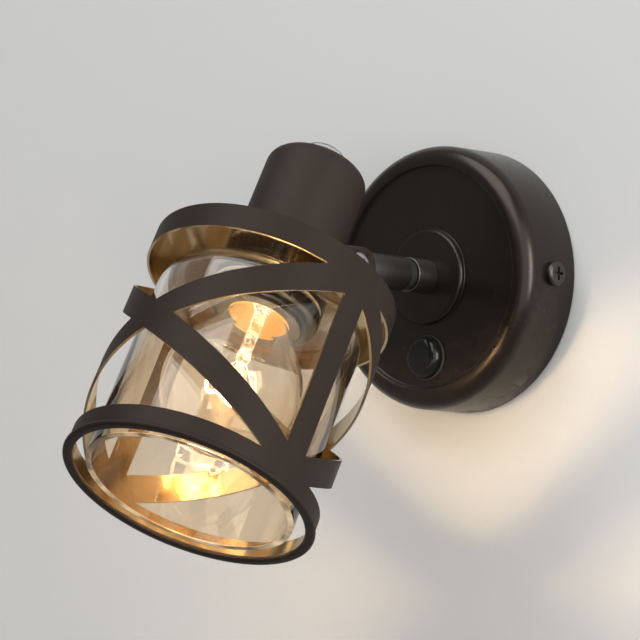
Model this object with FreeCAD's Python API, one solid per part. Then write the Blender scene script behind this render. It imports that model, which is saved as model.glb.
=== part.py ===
import FreeCAD, Part
import math
import os

os.makedirs("parts", exist_ok=True)

# A wall spotlight. Millimetres, +Z up, the wall is the plane y = 0 and the lamp stands out along -Y.
# The origin is the centre of the wall bracket, on the wall.

# Clearances shared by the whole lamp
cut_over = 1.0            # how far a cutting shape runs past the face it cuts
running_gap = 0.06        # radial clearance of a turning or sliding fit
free_gap = 0.3            # gap between pieces that move past each other
seat_gap = 0.02           # radial clearance of pieces that stay put in one another

# Wall canopy: a spun cup with a rounded shoulder, a sunk front and a low boss
canopy_radius = 44.0
canopy_side = 18.6        # height of the straight side
canopy_round = 5.4        # radius of the shoulder
canopy_wall = 1.0
lip_radius = 1.6          # rounding from the crest down to the sunk front
boss_share = 0.361        # of the canopy's radius, taken by the boss
boss_rise = 2.1           # boss face above the sunk front
boss_edge = 1.2           # rounding of the boss
hang_turn = 3.6           # the cup hangs turned, clockwise from the front, degrees

# Wall bracket: strap with slots, bent tabs and a tongue for the terminal block
bracket_thick = 1.5
strap_width = 17.0
slot_spacing = 50.0       # between the centres of the two wall-screw slots
slot_length = 9.0
slot_width = 4.6
cable_hole_radius = 6.0
tab_width = 16.0
tab_height = 15.0         # how far the bent tabs stand off the wall
tab_gap = 0.1             # between a tab's corners and the canopy's inner wall
tongue_width = 26.0
tongue_reach = 27.0       # top of the tongue above the lamp's centre

# M4 pan-head screws: the two in the canopy's side, the earth screw and the pivot
m4_radius = 2.0
m4_head_radius = 4.0
m4_head_height = 2.4
recess_length = 4.4
recess_width = 0.9
recess_depth = 1.3
side_screw_height = 11.0  # off the wall
side_screw_length = 7.0
earth_screw_offset = 14.0 # from the centre, along the strap
earth_washer_radius = 4.6
earth_washer_thick = 0.8

# Terminal block: three ways, standing on the tongue
block_length = 22.0
block_depth = 12.0
block_height = 12.5
block_start = 11.5        # lower edge above the lamp's centre
block_ways = 3
block_bore_radius = 1.7
clamp_screw_radius = 1.45
clamp_screw_length = 5.0
clamp_sink = 0.8          # clamp screw's head below the block's face
block_round = 1.0
m3_radius = 1.5
m3_head_radius = 2.7
m3_head_height = 1.6
block_screw_sink = 6.0    # depth of the fixing screw's well
driver_slot_width = 0.5
driver_slot_depth = 0.6

# Swivel post on the boss: a collar outside, a thread inside the canopy, a neck for the arm
collar_radius = 5.75
collar_length = 8.7
collar_chamfer = 0.5
post_thread_radius = 4.9
post_thread_length = 10.5
post_bore_radius = 2.0
neck_radius = 3.9
neck_length = 13.6
groove_depth = 1.1
groove_width = 2.9
groove_start = 10.4       # from the collar's face to the groove
stop_half_angle = 8.0     # half of the web that stops the arm, degrees
swivel_gap = 3.4          # dark gap between the collar and the arm
ring_radius = 4.8         # friction ring in that gap
washer_radius = 8.2
washer_thick = 0.8
washer_teeth = 12
tooth_depth = 0.9
post_nut_flats = 14.0
post_nut_thick = 4.0

# Push switch below the boss
switch_shift = 0.5        # button's centre below the middle of the sunk ring round the boss
button_radius = 6.95
button_proud = 3.9        # button's face above the sunk front
button_edge = 2.6
button_wall = 0.8
button_travel = 1.8
plunger_depth = 6.0       # length of the button inside the guide
guide_wall = 0.4
bezel_width = 0.25        # beyond the guide
bezel_thick = 0.5
switch_side = 18.0
switch_height = 10.0
switch_floor = 2.0
switch_edge = 1.0
terminal_pitch = 8.0
terminal_width = 4.0
terminal_thick = 0.8
terminal_length = 4.0
spring_radius = 3.4
spring_wire = 0.4         # radius of the wire
spring_turns = 5

# Leads inside the canopy
lead_radius = 0.9
lead_height = 3.2         # height of the leads' run off the wall
lead_bend_share = 0.45    # of the shorter run beside a bend, taken up by the bend
lead_turn_in = 12.0       # below the lamp's centre, where the leads are in line with the block's ways

# Arm and its bush
arm_radius = 5.75
arm_wall = 1.0
arm_length = 18.9
bush_length = 12.4
grub_radius = 1.5
grub_tip_radius = 1.15
grub_sink = 0.5           # screw's outer end below the arm's surface
grub_socket_radius = 0.75
grub_socket_depth = 1.2

# Knuckle between arm and head
knuckle_radius = 7.2
knuckle_base = 3.0
knuckle_chamfer = 0.6
spigot_length = 6.0
ear_radius = 7.0          # arm's half
lug_radius = 5.8          # head's half
ear_thick = 4.65
pivot_ahead = 4.7         # pivot beyond the base disc
fibre_radius = 5.6
fibre_thick = 0.4
pivot_stand = 8.0         # pivot to the cup's surface
pivot_rise = 21.2         # pivot above the cage's top
pivot_nut_flats = 7.0
pivot_nut_thick = 3.0
lug_screw_offset = 3.0    # of the two screws that hold the lug, up and down
lug_screw_length = 4.0    # beyond the cup's surface
shade_tilt = 30.0         # head's axis from the vertical, degrees

# Lampholder cup and what closes it
cup_radius = 16.75
cup_length = 43.3
cup_wall = 1.0
cup_round = 4.8
nipple_radius = 5.0
nipple_bore_radius = 3.6
nipple_above = 3.6        # nipple's length above the cup's closed end
holder_drop = 6.0         # from the cup's closed end to the lampholder
cup_nut_radius = 5.9
cup_nut_thick = 2.6
cup_nut_flutes = 16
flute_radius = 0.35
cap_radius = 7.0
cap_height = 5.7
cap_wall = 0.6
cap_edge = 1.5

# E14 lampholder
holder_radius = 13.0
holder_crown = 3.0        # rounding of its upper end
holder_wall = 2.6
holder_floor = 3.0        # floor that carries the contact
wire_hole_radius = 1.2
holder_flange_radius = 15.3
holder_flange_thick = 1.5
sleeve_radius = 13.9
sleeve_length = 16.2      # below the cage's top
sleeve_wall = 3.7         # at its open end
shell_radius = 7.35
shell_wall = 0.3
shell_length = 17.0
contact_rise = 4.0        # from the lamp's tip to the holder's floor
shell_ribs = 5
rib_height = 0.25
contact_width = 4.0
contact_thick = 0.5

# Stack under the cup: cage disc, clamp ring, gasket, glass, shade ring
clamp_height = 6.2
gasket_thick = 1.0
gasket_radius = 18.0
gasket_inner_radius = 14.4
ring_wall = 4.5           # from the sleeve to the rings' outer face
ring_height = 3.6
nose_wall = 1.2           # narrower end of the shade ring
nose_height = 1.4
nose_edge = 0.5
ring_ridges = 36
ridge_radius = 0.55
ring_edge = 0.8

# Glass cylinder
glass_gap = 5.55          # from the glass to the cage's inner face
glass_wall = 2.0
glass_shoulder = 8.5
glass_hole_radius = 14.6
glass_setback = 1.2       # of its rim from the cage's mouth

# Cage: one rolled sheet with bands, bars and crosses
cage_radius = 40.15
cage_length = 81.3
sheet = 0.8
top_band = 8.4
bottom_band = 7.5
bar_width = 8.9
diagonal_inset = 6.35     # where the crosses meet the bars, from either end
bead_width = 3.3          # rolled rim of the mouth, across
bead_height = 1.9
bead_proud = 0.8          # rolled rim beyond the cage's surface
bars = 2
disc_hole_radius = 14.1

# Lamp: clear globe with an E14 cap
globe_radius = 22.5
lamp_length = 78.0
lamp_tip = 13.7           # end contact above the cage's top
lamp_cap_radius = 6.85
lamp_cap_length = 23.0
lamp_cap_wall = 0.3
lamp_neck_radius = 8.2
lamp_neck_length = 4.6
lamp_throat_radius = 6.1  # glass inside the cap
lamp_throat_length = 3.0
bulb_wall = 0.7
solder_radius = 2.6
solder_height = 1.4
cone_height = 3.2         # black insulator between cap and end contact
stem_radius = 2.0
stem_length = 26.0
stem_flare_share = 0.3    # of the stem's length, taken by the flare
bead_ball_radius = 2.4
support_radius = 0.22
supports = 5
filament_radius = 0.32
filament_ring = 8.0
filament_drop = 9.0
filament_turn = 290       # degrees of the open ring

# Places worked out from the sizes above
crest = canopy_side + canopy_round
boss_radius = canopy_radius * boss_share
lip_reach = canopy_radius - canopy_round - lip_radius
switch_drop = (boss_radius + lip_reach) / 2 + switch_shift
floor_height = crest - lip_radius
boss_face = floor_height + boss_rise
inner_face = boss_face - canopy_wall
collar_face = boss_face + collar_length
arm_start = collar_face + swivel_gap
arm_end = arm_start + arm_length
knuckle_face = arm_end + knuckle_base
pivot_reach = knuckle_face + pivot_ahead
ear_inner = free_gap / 2 + fibre_thick
ear_outer = ear_inner + ear_thick
disc_top = 0.0
gasket_top = disc_top - sheet - clamp_height
ring_outer_radius = sleeve_radius + ring_wall
glass_top = gasket_top - gasket_thick
ring_top = glass_top - glass_wall
glass_radius = cage_radius - sheet - glass_gap
cage_mouth = -cage_length
lamp_end = lamp_tip - lamp_length
globe_centre = lamp_end + globe_radius
neck_start = lamp_tip - lamp_cap_length
neck_end = neck_start - lamp_neck_length

X = FreeCAD.Vector(1, 0, 0)
Y = FreeCAD.Vector(0, 1, 0)
Z = FreeCAD.Vector(0, 0, 1)
ORIGIN = FreeCAD.Vector(0, 0, 0)


def vec(x, y, z):
    return FreeCAD.Vector(x, y, z)


# Drawing helpers

def turn(centre_r, centre_h, radius, start, end):
    # an arc for an outline: its middle and its end, angles in degrees from the +r direction
    middle = math.radians((start + end) / 2)
    last = math.radians(end)
    return [(centre_r + radius * math.cos(middle), centre_h + radius * math.sin(middle)),
            (centre_r + radius * math.cos(last), centre_h + radius * math.sin(last))]


def outline_face(start, steps):
    # a closed flat outline in the XZ plane; a step is a point, or a turn's pair of points
    edges = []
    here = vec(start[0], 0, start[1])
    for step in steps + [start]:
        if isinstance(step, list):
            middle = vec(step[0][0], 0, step[0][1])
            there = vec(step[1][0], 0, step[1][1])
            edges.append(Part.Arc(here, middle, there).toShape())
        else:
            there = vec(step[0], 0, step[1])
            if there != here:
                edges.append(Part.LineSegment(here, there).toShape())
        here = there
    return Part.Face(Part.Wire(edges))


def spun(start, steps):
    return outline_face(start, steps).revolve(ORIGIN, Z, 360)


def rod(radius, low, high):
    return Part.makeCylinder(radius, high - low, vec(0, 0, low))


def tube(outer, inner, low, high):
    return rod(outer, low, high).cut(rod(inner, low - cut_over, high + cut_over))


def block(x_low, x_high, y_low, y_high, z_low, z_high):
    return Part.makeBox(x_high - x_low, y_high - y_low, z_high - z_low, vec(x_low, y_low, z_low))


def aimed(shape, direction, point):
    # a shape drawn along +Z from the origin, turned to a direction and moved to a point
    moved = shape.copy()
    moved.Placement = FreeCAD.Placement(point, FreeCAD.Rotation(Z, direction))
    return moved


def on_wall(shape):
    # a shape drawn with its height along +Z, stood on the wall: height becomes -Y, its Y becomes +Z
    moved = shape.copy()
    moved.Placement = FreeCAD.Placement(ORIGIN, FreeCAD.Rotation(X, 90)).multiply(shape.Placement)
    return moved


def hung(shape):
    # turned with the wall cup about the lamp's centre, before it is stood on the wall
    moved = shape.copy()
    moved.rotate(ORIGIN, Z, -hang_turn)
    return moved


def hexagon(flats, low, high):
    corner = flats / 2 / math.cos(math.radians(30))
    points = [vec(corner * math.cos(math.radians(60 * i)), corner * math.sin(math.radians(60 * i)), low)
              for i in range(7)]
    return Part.Face(Part.makePolygon(points)).extrude(vec(0, 0, high - low))


def pan_screw(length):
    # M4: head above z = 0, shank below, with a cross recess
    dome = m4_head_height / 2
    head = spun((0, 0), [(m4_head_radius, 0), (m4_head_radius, dome),
                         turn(m4_head_radius - dome, dome, dome, 0, 90), (0, m4_head_height)])
    screw = head.fuse(rod(m4_radius, -length, 0))
    half = recess_length / 2
    side = recess_width / 2
    low = m4_head_height - recess_depth
    top = m4_head_height + cut_over
    for cross in (block(-half, half, -side, side, low, top), block(-side, side, -half, half, low, top)):
        screw = screw.cut(cross)
    return screw.removeSplitter()


def slotted_screw(radius, head_radius, head_height, length):
    screw = rod(radius, -length, 0).fuse(rod(head_radius, 0, head_height))
    half = driver_slot_width / 2
    low = head_height - driver_slot_depth
    return screw.cut(block(-half, half, -head_radius - cut_over, head_radius + cut_over,
                           low, head_height + cut_over))


def save(name, shape):
    shape.exportStep("parts/" + name + ".step")
    print(name, "solids", len(shape.Solids), "valid", shape.isValid(), "volume", round(shape.Volume, 1))


# Wall side

def canopy_form(inset):
    # the canopy's outside, or its inside when inset is the wall's thickness
    crest_r = canopy_radius - canopy_round
    boss_r = boss_radius - inset
    edge = max(boss_edge - inset, seat_gap)
    low = -cut_over if inset else 0
    return spun((0, low), [
        (canopy_radius - inset, low), (canopy_radius - inset, canopy_side),
        turn(crest_r, canopy_side, canopy_round - inset, 0, 90),
        turn(crest_r, crest - lip_radius, lip_radius - inset, 90, 180),
        (lip_reach + inset, floor_height - inset), (boss_r, floor_height - inset),
        (boss_r, boss_face - inset - edge),
        turn(boss_r - edge, boss_face - inset - edge, edge, 0, 90), (0, boss_face - inset)])


def canopy():
    shell = canopy_form(0).cut(canopy_form(canopy_wall))
    shell = shell.cut(rod(post_thread_radius + seat_gap, 0, boss_face + cut_over))
    guide = button_radius + running_gap + guide_wall + seat_gap
    hole = rod(guide, 0, boss_face + cut_over)
    hole.translate(vec(0, -switch_drop, 0))
    shell = shell.cut(hung(hole))
    for side in (X, -X):
        shell = shell.cut(hung(aimed(rod(m4_radius + running_gap, 0, canopy_radius + cut_over), side,
                                     vec(0, 0, side_screw_height))))
    return on_wall(shell)


def tab_face():
    # outer face of a bent tab, whose corners just clear the canopy's inner wall
    inside = canopy_radius - canopy_wall - tab_gap
    return math.sqrt(inside ** 2 - (tab_width / 2) ** 2)


def mount_bracket():
    end = tab_face()
    half = strap_width / 2
    body = hung(block(-end, end, -tab_width / 2, tab_width / 2, 0, bracket_thick))
    body = body.fuse(block(bracket_thick - end, end - bracket_thick, -half, half, 0, bracket_thick))
    body = body.fuse(block(-tongue_width / 2, tongue_width / 2, 0, tongue_reach, 0, bracket_thick))
    for side in (1, -1):
        tab = block(end - bracket_thick, end, -tab_width / 2, tab_width / 2, 0, tab_height)
        tab = tab.cut(aimed(rod(m4_radius + seat_gap, 0, canopy_radius), X, vec(0, 0, side_screw_height)))
        if side < 0:
            tab.rotate(ORIGIN, Z, 180)
        body = body.fuse(hung(tab))
        centre = side * slot_spacing / 2
        run = (slot_length - slot_width) / 2
        body = body.cut(block(centre - run, centre + run, -slot_width / 2, slot_width / 2,
                              -cut_over, bracket_thick + cut_over))
        for stop in (centre - run, centre + run):
            eye = rod(slot_width / 2, -cut_over, bracket_thick + cut_over)
            eye.translate(vec(stop, 0, 0))
            body = body.cut(eye)
    body = body.cut(rod(cable_hole_radius, -cut_over, bracket_thick + cut_over))
    for x, y, radius in ((-earth_screw_offset, 0, m4_radius), (0, block_start + block_depth / 2, m3_radius)):
        eye = rod(radius + seat_gap, -cut_over, bracket_thick + cut_over)
        eye.translate(vec(x, y, 0))
        body = body.cut(eye)
    return on_wall(body.removeSplitter())


def canopy_screws():
    pair = []
    for side in (X, -X):
        face = side * canopy_radius
        pair.append(aimed(pan_screw(side_screw_length), side, face + vec(0, 0, side_screw_height)))
    return on_wall(hung(Part.makeCompound(pair)))


def earth_screw():
    seat = bracket_thick + earth_washer_thick
    return on_wall(aimed(pan_screw(seat), Z, vec(-earth_screw_offset, 0, seat)))


def earth_washer():
    ring = tube(earth_washer_radius, m4_radius + seat_gap, bracket_thick, bracket_thick + earth_washer_thick)
    cup = m4_head_radius + (earth_washer_radius - m4_head_radius) / 2
    ring = ring.fuse(tube(earth_washer_radius, cup, bracket_thick, bracket_thick + 2 * earth_washer_thick))
    ring.translate(vec(-earth_screw_offset, 0, 0))
    return on_wall(ring.removeSplitter())


def block_pitch():
    return block_length / block_ways


def way_places():
    # the ways of the terminal block, along its length
    first = -(block_ways - 1) / 2
    return [(first + i) * block_pitch() for i in range(block_ways)]


def terminal_block():
    low = bracket_thick
    high = low + block_height
    body = block(-block_length / 2, block_length / 2, block_start, block_start + block_depth, low, high)
    upright = [e for e in body.Edges if abs(e.tangentAt(e.FirstParameter).z) > 0.5]
    body = body.makeFillet(block_round, upright)
    middle = block_start + block_depth / 2
    wire_height = low + block_height / 2
    for x in way_places():
        body = body.cut(aimed(rod(block_bore_radius, 0, block_depth + 2 * cut_over), Y,
                              vec(x, block_start - cut_over, wire_height)))
        if x:
            well = rod(clamp_screw_radius + seat_gap, wire_height, high + cut_over)
            well.translate(vec(x, middle, 0))
            body = body.cut(well)
    well = rod(m3_head_radius + running_gap, high - block_screw_sink, high + cut_over)
    well = well.fuse(rod(m3_radius + seat_gap, low - cut_over, high))
    well.translate(vec(0, middle, 0))
    return on_wall(body.cut(well))


def terminal_screws():
    high = bracket_thick + block_height - clamp_sink
    middle = block_start + block_depth / 2
    screws = []
    for x in way_places():
        if x:
            screw = rod(clamp_screw_radius, high - clamp_screw_length, high)
            half = driver_slot_width / 2
            screw = screw.cut(block(-half, half, -clamp_screw_radius - cut_over,
                                    clamp_screw_radius + cut_over, high - driver_slot_depth,
                                    high + cut_over))
            screw.translate(vec(x, middle, 0))
            screws.append(screw)
    return on_wall(Part.makeCompound(screws))


def block_screw():
    seat = bracket_thick + block_height - block_screw_sink
    screw = slotted_screw(m3_radius, m3_head_radius, m3_head_height, seat)
    screw.translate(vec(0, block_start + block_depth / 2, seat))
    return on_wall(screw)


def swivel_post():
    # a collar on the boss, a thread down through it, a neck with a stop groove for the arm
    chamfer = collar_chamfer
    neck_top = collar_face + neck_length
    body = spun((post_bore_radius, boss_face - post_thread_length), [
        (post_thread_radius, boss_face - post_thread_length), (post_thread_radius, boss_face),
        (collar_radius, boss_face), (collar_radius, collar_face - chamfer),
        (collar_radius - chamfer, collar_face), (neck_radius, collar_face),
        (neck_radius, neck_top - chamfer), (neck_radius - chamfer, neck_top), (post_bore_radius, neck_top)])
    low = collar_face + groove_start
    groove = tube(neck_radius + cut_over, neck_radius - groove_depth, low, low + groove_width)
    # the web that stops the grub screw is left standing opposite it
    reach = neck_radius + 2 * cut_over
    spread = reach * math.tan(math.radians(stop_half_angle))
    web = Part.Face(Part.makePolygon([vec(0, 0, low), vec(spread, reach, low), vec(-spread, reach, low),
                                      vec(0, 0, low)])).extrude(vec(0, 0, groove_width))
    return on_wall(body.cut(groove.cut(web)))


def friction_ring():
    ring = spun((neck_radius + running_gap, collar_face), [
        (ring_radius, collar_face), (ring_radius, arm_start - free_gap),
        (neck_radius + running_gap, arm_start - free_gap)])
    return on_wall(ring)


def post_washer():
    high = inner_face
    low = high - washer_thick
    ring = tube(washer_radius, post_thread_radius + running_gap, low, high)
    for i in range(washer_teeth):
        notch = block(washer_radius - tooth_depth, washer_radius + cut_over, -tooth_depth / 2,
                      tooth_depth / 2, low - cut_over, high + cut_over)
        notch.rotate(ORIGIN, Z, 360 * i / washer_teeth)
        ring = ring.cut(notch)
    return on_wall(ring)


def post_nut():
    high = inner_face - washer_thick
    nut = hexagon(post_nut_flats, high - post_nut_thick, high)
    return on_wall(nut.cut(rod(post_thread_radius + seat_gap, 0, boss_face)))


# Push switch, drawn about its own axis and then moved below the boss

def at_switch(shape):
    moved = shape.copy()
    moved.translate(vec(0, -switch_drop, 0))
    return on_wall(hung(moved))


def guide_outer():
    return button_radius + running_gap + guide_wall


def switch_top():
    return floor_height - canopy_wall


def button_bottom():
    return floor_height - plunger_depth


def switch_body():
    high = switch_top()
    low = high - switch_height
    half = switch_side / 2
    body = block(-half, half, -half, half, low, high)
    upright = [e for e in body.Edges if abs(e.tangentAt(e.FirstParameter).z) > 0.5]
    body = body.makeFillet(switch_edge, upright)
    body = body.fuse(rod(guide_outer(), high, floor_height))
    body = body.cut(rod(button_radius + running_gap, low + switch_floor, floor_height + cut_over))
    return at_switch(body)


def switch_bezel():
    outer = guide_outer() + bezel_width
    top = floor_height + bezel_thick
    round_r = bezel_thick / 2
    ring = spun((button_radius + running_gap, floor_height), [
        (outer, floor_height), (outer, top - round_r), turn(outer - round_r, top - round_r, round_r, 0, 90),
        (button_radius + running_gap, top)])
    return at_switch(ring)


def switch_button():
    top = floor_height + button_proud
    wall = button_wall
    inner = button_radius - wall
    low = button_bottom()
    cap = spun((0, top - wall), [
        (inner - button_edge + wall, top - wall),
        turn(inner - button_edge + wall, top - wall - button_edge + wall, button_edge - wall, 90, 0),
        (inner, low), (button_radius, low), (button_radius, top - button_edge),
        turn(button_radius - button_edge, top - button_edge, button_edge, 0, 90), (0, top)])
    return at_switch(cap)


def switch_spring():
    # a coil spring standing under the button, drawn as long as it is when the button is pressed
    low = switch_top() - switch_height + switch_floor
    high = floor_height + button_proud - button_wall - button_travel
    rise = high - low - 2 * spring_wire - free_gap
    helix = Part.makeHelix(rise / spring_turns, rise, spring_radius)
    start = vec(spring_radius, 0, 0)
    slope = math.atan2(rise / spring_turns, 2 * math.pi * spring_radius)
    along = vec(0, math.cos(slope), math.sin(slope))
    section = Part.Wire(Part.makeCircle(spring_wire, start, along))
    coil = Part.Wire(helix.Edges).makePipeShell([section], True, True)
    coil.translate(vec(0, 0, low + spring_wire))
    return at_switch(coil)


def terminal_places():
    return (-terminal_pitch / 2, terminal_pitch / 2)


def switch_terminals():
    high = switch_top() - switch_height
    pair = []
    for x in terminal_places():
        pair.append(block(x - terminal_width / 2, x + terminal_width / 2, -terminal_thick / 2,
                          terminal_thick / 2, high - terminal_length, high))
    return at_switch(Part.makeCompound(pair))


def lead(points, radius):
    # a round lead along straight runs joined by tangent arcs
    edges = []
    here = points[0]
    for i in range(1, len(points) - 1):
        before = points[i] - points[i - 1]
        after = points[i + 1] - points[i]
        bend = before.getAngle(after)
        back = lead_bend_share * min(before.Length, after.Length)
        into = points[i] - before.normalize() * back
        out = points[i] + after.normalize() * back
        arc_radius = back / math.tan(bend / 2)
        inward = ((into + out) * 0.5 - points[i]).normalize()
        middle = points[i] + inward * (arc_radius / math.cos(bend / 2) - arc_radius)
        edges.append(Part.LineSegment(here, into).toShape())
        edges.append(Part.Arc(into, middle, out).toShape())
        here = out
    edges.append(Part.LineSegment(here, points[-1]).toShape())
    start = (points[1] - points[0]).normalize()
    section = Part.Wire(Part.makeCircle(radius, points[0], start))
    return Part.Wire(edges).makePipeShell([section], True, False)


def inner_leads():
    # from the switch's two terminals, past the post, to two ways of the terminal block
    low = switch_top() - switch_height - terminal_length
    into_block = bracket_thick + block_height / 2
    ways = way_places()
    turned = FreeCAD.Rotation(Z, -hang_turn)
    pair = []
    for x, way in ((terminal_places()[0], ways[0]), (terminal_places()[1], ways[-1])):
        points = [turned.multVec(vec(x, -switch_drop, low)), turned.multVec(vec(x, -switch_drop, lead_height)),
                  vec(way, -lead_turn_in, lead_height), vec(way, block_start / 2, into_block),
                  vec(way, block_start + block_bore_radius, into_block)]
        pair.append(lead(points, lead_radius))
    return on_wall(Part.makeCompound(pair))


# Arm

def arm_tube():
    inner = arm_radius - arm_wall
    body = tube(arm_radius, inner, arm_start, arm_end)
    body = body.cut(aimed(rod(grub_radius + seat_gap, 0, arm_radius + cut_over), -Y,
                          vec(0, 0, grub_height())))
    return on_wall(body)


def grub_height():
    return collar_face + groove_start + groove_width / 2


def arm_bush():
    outer = arm_radius - arm_wall
    body = tube(outer, neck_radius + running_gap, arm_start, arm_start + bush_length)
    body = body.cut(aimed(rod(grub_radius + seat_gap, 0, arm_radius + cut_over), -Y,
                          vec(0, 0, grub_height())))
    return on_wall(body)


def grub_screw():
    # under the arm: its tip runs in the post's groove
    tip = neck_radius - groove_depth + free_gap
    shoulder = neck_radius + running_gap
    outer = arm_radius - grub_sink
    body = rod(grub_tip_radius, tip, shoulder).fuse(rod(grub_radius, shoulder, outer))
    socket = hexagon(2 * grub_socket_radius, outer - grub_socket_depth, outer + cut_over)
    return on_wall(aimed(body.cut(socket), -Y, vec(0, 0, grub_height())))


def arm_knuckle():
    disc = spun((post_bore_radius, arm_end - spigot_length), [
        (arm_radius - arm_wall - seat_gap, arm_end - spigot_length),
        (arm_radius - arm_wall - seat_gap, arm_end), (knuckle_radius - knuckle_chamfer, arm_end),
        (knuckle_radius, arm_end + knuckle_chamfer), (knuckle_radius, knuckle_face - knuckle_chamfer),
        (knuckle_radius - knuckle_chamfer, knuckle_face), (post_bore_radius, knuckle_face)])
    ear = block(ear_inner, ear_outer, -ear_radius, ear_radius, knuckle_face - knuckle_chamfer, pivot_reach)
    ear = ear.fuse(aimed(rod(ear_radius, ear_inner, ear_outer), X, vec(0, 0, pivot_reach)))
    ear = ear.common(rod(knuckle_radius, arm_end, pivot_reach + ear_radius))
    # the base disc is lower under the head's half
    low = pivot_reach - lug_radius - free_gap
    step = block(-knuckle_radius - cut_over, ear_inner, -knuckle_radius - cut_over,
                 knuckle_radius + cut_over, low, pivot_reach)
    body = disc.cut(step).fuse(ear)
    body = body.cut(aimed(rod(m4_radius + running_gap, 0, ear_outer + cut_over), X, vec(0, 0, pivot_reach)))
    return on_wall(body.removeSplitter())


def fibre_washer():
    ring = tube(fibre_radius, m4_radius + running_gap, free_gap / 2, ear_inner)
    return on_wall(aimed(ring, X, vec(0, 0, pivot_reach)))


# Head: drawn upright about its own axis, the cage's top at z = 0 and its mouth below, then tilted

def on_head(shape):
    tilt = FreeCAD.Rotation(X, -shade_tilt)
    pivot = vec(0, cup_radius + pivot_stand, pivot_rise)
    place = FreeCAD.Placement(vec(0, -pivot_reach, 0) - tilt.multVec(pivot), tilt)
    moved = shape.copy()
    moved.Placement = place.multiply(shape.Placement)
    return moved


def lug_screw_places():
    return (pivot_rise - lug_screw_offset, pivot_rise + lug_screw_offset)


def lug_centre():
    return -(ear_outer + free_gap / 2) / 2


def head_knuckle():
    pivot_y = cup_radius + pivot_stand
    outer = -ear_outer
    inner = -free_gap / 2
    ear = aimed(rod(lug_radius, outer, inner), X, vec(0, pivot_y, pivot_rise))
    ear = ear.fuse(block(outer, inner, 0, pivot_y, pivot_rise - lug_radius, pivot_rise + lug_radius))
    ear = ear.cut(rod(cup_radius, 0, cup_length))
    ear = ear.cut(aimed(rod(m4_radius + seat_gap, outer - cut_over, inner + cut_over), X,
                        vec(0, pivot_y, pivot_rise)))
    for z in lug_screw_places():
        ear = ear.cut(aimed(rod(m3_radius + seat_gap, 0, cup_radius + lug_screw_length), Y,
                            vec(lug_centre(), 0, z)))
    return on_head(ear.removeSplitter())


def knuckle_screws():
    # from inside the cup, the edges of their heads on its wall
    seat = math.sqrt((cup_radius - cup_wall) ** 2 - (abs(lug_centre()) + m3_head_radius) ** 2)
    reach = cup_radius + lug_screw_length - seat
    pair = []
    for z in lug_screw_places():
        screw = slotted_screw(m3_radius, m3_head_radius, m3_head_height, reach)
        pair.append(aimed(screw, -Y, vec(lug_centre(), seat, z)))
    return on_head(Part.makeCompound(pair))


def pivot_screw():
    head_seat = ear_outer + free_gap
    length = head_seat + ear_outer + pivot_nut_thick
    return on_head(aimed(pan_screw(length), X, vec(head_seat, cup_radius + pivot_stand, pivot_rise)))


def pivot_nut():
    nut = hexagon(pivot_nut_flats, ear_outer, ear_outer + pivot_nut_thick)
    nut = nut.cut(rod(m4_radius + seat_gap, 0, 2 * ear_outer))
    return on_head(aimed(nut, -X, vec(0, cup_radius + pivot_stand, pivot_rise)))


def cup():
    inner = cup_radius - cup_wall
    top = cup_length
    body = spun((inner, disc_top), [
        (cup_radius, disc_top), (cup_radius, top - cup_round),
        turn(cup_radius - cup_round, top - cup_round, cup_round, 0, 90),
        (nipple_radius + seat_gap, top), (nipple_radius + seat_gap, top - cup_wall),
        (cup_radius - cup_round, top - cup_wall),
        turn(cup_radius - cup_round, top - cup_round, cup_round - cup_wall, 90, 0)])
    for z in lug_screw_places():
        body = body.cut(aimed(rod(m3_radius + seat_gap, 0, cup_radius + cut_over), Y,
                              vec(lug_centre(), 0, z)))
    return on_head(body)


def holder_top():
    return cup_length - holder_drop


def cup_nipple():
    low = holder_top() - holder_wall
    return on_head(tube(nipple_radius, nipple_bore_radius, low, cup_length + nipple_above))


def cup_nut():
    low = cup_length
    nut = tube(cup_nut_radius, nipple_radius + seat_gap, low, low + cup_nut_thick)
    for i in range(cup_nut_flutes):
        angle = 2 * math.pi * i / cup_nut_flutes
        flute = rod(flute_radius, low - cut_over, low + cup_nut_thick + cut_over)
        flute.translate(vec(cup_nut_radius * math.cos(angle), cup_nut_radius * math.sin(angle), 0))
        nut = nut.cut(flute)
    return on_head(nut)


def end_cap():
    low = cup_length
    top = low + cap_height
    inner = cap_radius - cap_wall
    cap = spun((inner, low), [
        (cap_radius, low), (cap_radius, top - cap_edge),
        turn(cap_radius - cap_edge, top - cap_edge, cap_edge, 0, 90), (0, top), (0, top - cap_wall),
        (cap_radius - cap_edge, top - cap_wall),
        turn(cap_radius - cap_edge, top - cap_edge, cap_edge - cap_wall, 90, 0)])
    return on_head(cap)


def floor_low():
    return lamp_tip + contact_rise


def shell_bottom():
    return floor_low() - shell_length


def holder_body():
    # outer barrel and flange above the cage, sleeve for the rings below it; a floor inside
    # carries the centre contact, and the shell stands on a step
    top = holder_top()
    under = top - holder_wall
    shelf = shell_bottom()
    seat = shell_radius + rib_height + seat_gap
    floor_high = floor_low() + holder_floor
    crown = holder_radius - holder_crown
    body = spun((nipple_radius + seat_gap, top), [
        (crown, top), turn(crown, top - holder_crown, holder_crown, 90, 0),
        (holder_radius, holder_flange_thick), (holder_flange_radius, holder_flange_thick),
        (holder_flange_radius, disc_top), (sleeve_radius, disc_top), (sleeve_radius, -sleeve_length),
        (sleeve_radius - sleeve_wall, -sleeve_length), (shell_radius - shell_wall, shelf), (seat, shelf),
        (seat, floor_low()), (wire_hole_radius, floor_low()), (wire_hole_radius, floor_high),
        (seat, floor_high), (seat, under), (nipple_radius + seat_gap, under)])
    return on_head(body)


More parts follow.
